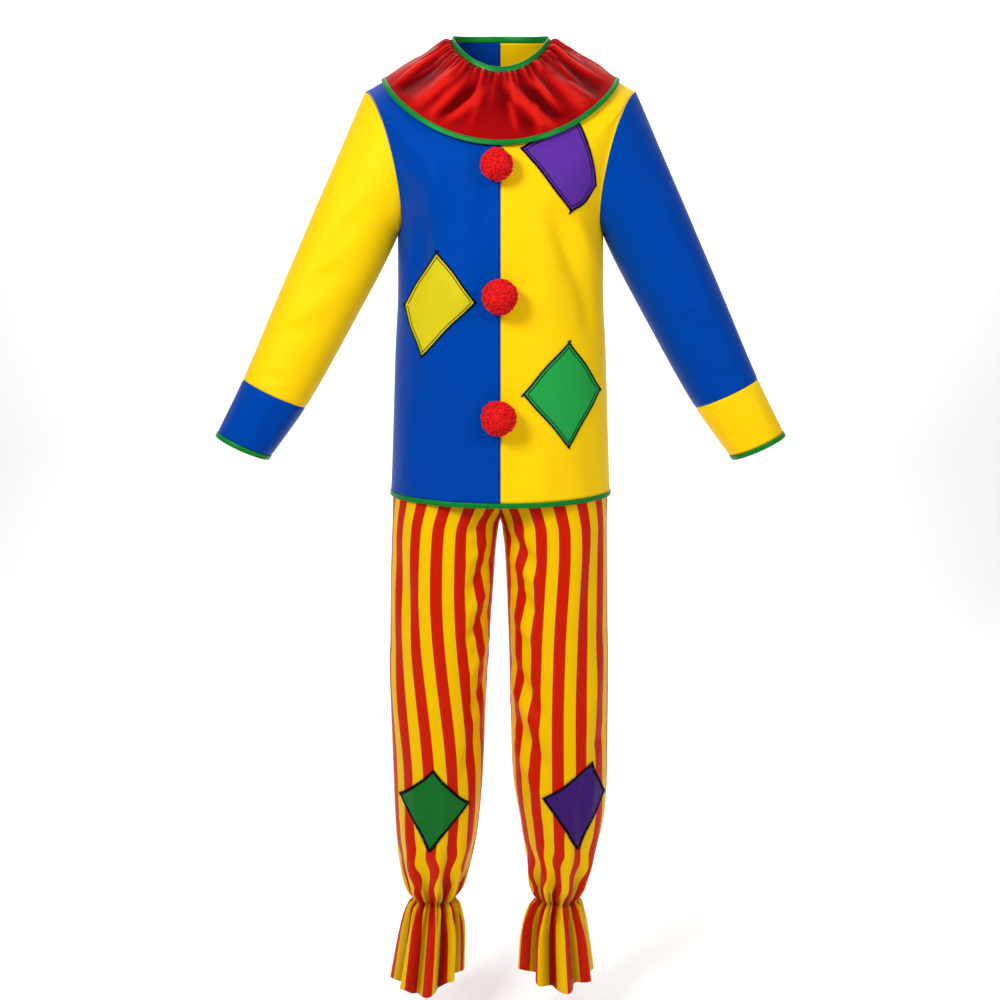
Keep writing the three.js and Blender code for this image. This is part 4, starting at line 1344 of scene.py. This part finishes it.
def curl_tree():
    inputs = [
        ("Density", "Float", 90000.0),
        ("Curl", "Float", 0.0024),
        ("Yarn", "Float", 0.0008),
        ("Seed", "Int", 1),
        ("Material", "Material", None),
    ]
    tree, given, result = new_geometry_tree("yarn_curls", inputs)
    scatter = add_node(
        tree, "GeometryNodeDistributePointsOnFaces",
        Mesh=given["Geometry"], Density=given["Density"], Seed=given["Seed"],
    )
    arc = add_node(tree, "GeometryNodeCurveArc", Resolution=7, Radius=given["Curl"], Sweep_Angle=4.4)
    round_yarn = add_node(tree, "GeometryNodeCurvePrimitiveCircle", Resolution=4, Radius=given["Yarn"])
    tube = add_node(
        tree, "GeometryNodeCurveToMesh",
        Curve=arc.outputs[0], Profile_Curve=round_yarn.outputs[0], Fill_Caps=True,
    )
    spin = add_node(tree, "FunctionNodeRandomValue", {"data_type": "FLOAT_VECTOR"}, Seed=given["Seed"])
    spin.inputs[0].default_value = (-1.1, -1.1, 0)
    spin.inputs[1].default_value = (1.1, 1.1, 2 * math.pi)
    turned = add_node(
        tree, "FunctionNodeRotateRotation", {"rotation_space": "LOCAL"},
        Rotation=scatter.outputs["Rotation"], Rotate_By=spin.outputs[0],
    )
    upright = add_node(
        tree, "FunctionNodeRotateRotation", {"rotation_space": "LOCAL"},
        Rotation=turned.outputs[0], Rotate_By=(QUARTER, 0, 0),
    )
    sizes = add_node(tree, "FunctionNodeRandomValue", {"data_type": "FLOAT"}, Seed=given["Seed"])
    sizes.inputs[2].default_value = 0.7
    sizes.inputs[3].default_value = 1.3
    laid = add_node(
        tree, "GeometryNodeInstanceOnPoints",
        Points=scatter.outputs[0], Instance=tube.outputs[0],
        Rotation=upright.outputs[0], Scale=sizes.outputs[1],
    )
    both = tree.nodes.new("GeometryNodeJoinGeometry")
    tree.links.new(laid.outputs[0], both.inputs[0])
    tree.links.new(given["Geometry"], both.inputs[0])
    real = add_node(tree, "GeometryNodeRealizeInstances", Geometry=both.outputs[0])
    smooth_faces = add_node(tree, "GeometryNodeSetShadeSmooth", Geometry=real.outputs[0])
    final = add_node(tree, "GeometryNodeSetMaterial", Geometry=smooth_faces.outputs[0])
    tree.links.new(given["Material"], final.inputs["Material"])
    tree.links.new(final.outputs[0], result.inputs[0])
    return tree


CURL_TREE = curl_tree()


def front_depth(z):
    """Depth of the tunic's centre front at a height below the collar."""
    heights = [*YOKE["front_z"], *(BODY["z"] - BODY["drop"])]
    return float(smooth(heights, [*YOKE["front_depth"], *BODY["depth"]])(z))


for number, pompom in enumerate(POMPOMS):
    back_half = pompom.radius * math.sqrt(1 - POMPOM_BACK**2)
    back = -(front_depth(pompom.z - back_half) + 1.4)
    centre = np.array([pompom.x, back - POMPOM_BACK * pompom.radius, pompom.z])
    rng = np.random.default_rng(number + 5)
    lumps = rng.normal(size=(26, 3))
    lumps /= np.linalg.norm(lumps, axis=1, keepdims=True)
    a = np.linspace(0, 2 * math.pi, 40, endpoint=False)[None, :]
    lean = np.linspace(0, math.pi - math.acos(POMPOM_BACK) * 1.02, 24)[:, None]
    round_x, round_z = np.sin(lean) * np.cos(a), np.sin(lean) * np.sin(a)
    ball = np.stack(np.broadcast_arrays(round_x, -np.cos(lean), round_z), -1)
    near = np.exp(14 * (ball @ lumps.T - 1)).sum(-1)
    grid = centre + ball * (pompom.radius - 3.6 + 0.9 * (near - near.mean()))[..., None]
    grid = np.concatenate([grid, np.broadcast_to(grid[-1].mean(0), grid[:1].shape)])
    piece = grid_mesh(pompom.name + "_yarn", grid, arc_uv(grid), True, centre, YARN)
    face_outward(piece)
    run_tree(piece, CURL_TREE, Seed=number, Material=YARN)
    for vertex in piece.data.vertices:
        vertex.co.y = min(vertex.co.y, (back + 0.6) * MM)
    declare(piece, pompom.name, "pompom_yarn")
    print(piece.name, "faces:", len(piece.data.polygons))

# %% [markdown]
# The costume hangs as if worn, over a plain white floor that curves up behind it. The key light stands in
# front on the wearer's right and models the folds. A weaker one on the left keeps the shadows pale, a small
# one from above brightens the shoulders, and the last lights the wall. The sky lights the cloth only weakly,
# but looks pale beyond the floor.

# %% Floor and light
FLOOR_Z = -1.5
SKY_LIGHT = 0.27  # how strongly the sky lights the cloth
SKY_SEEN = 0.93  # how bright it looks beyond the floor


def make_floor():
    """A floor with a rounded rise into a wall behind."""
    radius, depth, width, height = 0.6, 2.4, 6.0, 3.4
    bend = [(depth + radius * math.sin(a), radius * (1 - math.cos(a))) for a in np.linspace(0, QUARTER, 16)]
    line = [(-3.0, 0.0), *bend, (depth + radius, height)]
    places = [(side * width, y, FLOOR_Z + z) for y, z in line for side in (-1, 1)]
    faces = [(2 * i, 2 * i + 1, 2 * i + 3, 2 * i + 2) for i in range(len(line) - 1)]
    mesh = bpy.data.meshes.new("floor")
    mesh.from_pydata(places, [], faces)
    mesh.polygons.foreach_set("use_smooth", [True] * len(faces))
    floor = bpy.data.objects.new("floor", mesh)
    bpy.context.collection.objects.link(floor)
    paper = bpy.data.materials.new("paper")
    paper.use_nodes = True
    tree = paper.node_tree
    shader = tree.nodes["Principled BSDF"]
    shader.inputs["Roughness"].default_value = 0.9
    place = tree.nodes.new("ShaderNodeTexCoord").outputs["Object"]
    toned = add_node(
        tree, "ShaderNodeGroup", {"node_tree": TONE}, Colour=(0.95, 0.95, 0.95, 1), Place=place, Amount=0.02
    )
    tree.links.new(toned.outputs[0], shader.inputs["Base Color"])
    mesh.materials.append(paper)
    floor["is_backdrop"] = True
    return floor


def area_light(name, place, aim, size, power):
    data = bpy.data.lights.new(name, "AREA")
    data.size = size
    data.energy = power
    light = bpy.data.objects.new(name, data)
    bpy.context.collection.objects.link(light)
    light.location = place
    light.rotation_euler = (Vector(aim) - Vector(place)).to_track_quat("-Z", "Y").to_euler()
    light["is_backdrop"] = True
    return light


make_floor()
area_light("key", (-1.0, -1.6, 0.45), (0, 0, -0.4), 0.6, 31)
area_light("fill", (1.3, -1.6, 0.2), (0, 0, -0.4), 0.8, 14)
area_light("top", (0.2, -0.5, 1.8), (0, 0, -0.6), 0.9, 6)
area_light("wall", (0.0, 1.4, 1.6), (0, 3.1, -0.6), 2.4, 88)
world = bpy.data.worlds.new("studio")
world.use_nodes = True
world.node_tree.nodes["Background"].inputs["Color"].default_value = (1, 1, 1, 1)
sky = world.node_tree.nodes["Background"]
seen = add_node(world.node_tree, "ShaderNodeLightPath").outputs["Is Camera Ray"]
level = math_node(world.node_tree, "MULTIPLY", seen, SKY_SEEN - SKY_LIGHT)
world.node_tree.links.new(math_node(world.node_tree, "ADD", level, SKY_LIGHT), sky.inputs["Strength"])
bpy.context.scene.world = world
bpy.context.scene.view_settings.view_transform = "Standard"
print("lights:", [o.name for o in bpy.data.objects if o.type == "LIGHT"])

# %% [markdown]
# Last come the measurements: the cut of each sheet and the number of triangles.

# %% Measure and finish


def triangle_count(piece):
    mesh = piece.evaluated_get(bpy.context.evaluated_depsgraph_get()).to_mesh()
    return sum(len(p.vertices) - 2 for p in mesh.polygons)


COUNTS = {piece.name: triangle_count(piece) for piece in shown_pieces()}
print("triangles in all:", sum(COUNTS.values()), "and in the largest piece:", max(COUNTS.values()))
print("sheets:")
print("\n".join(SHEETS))
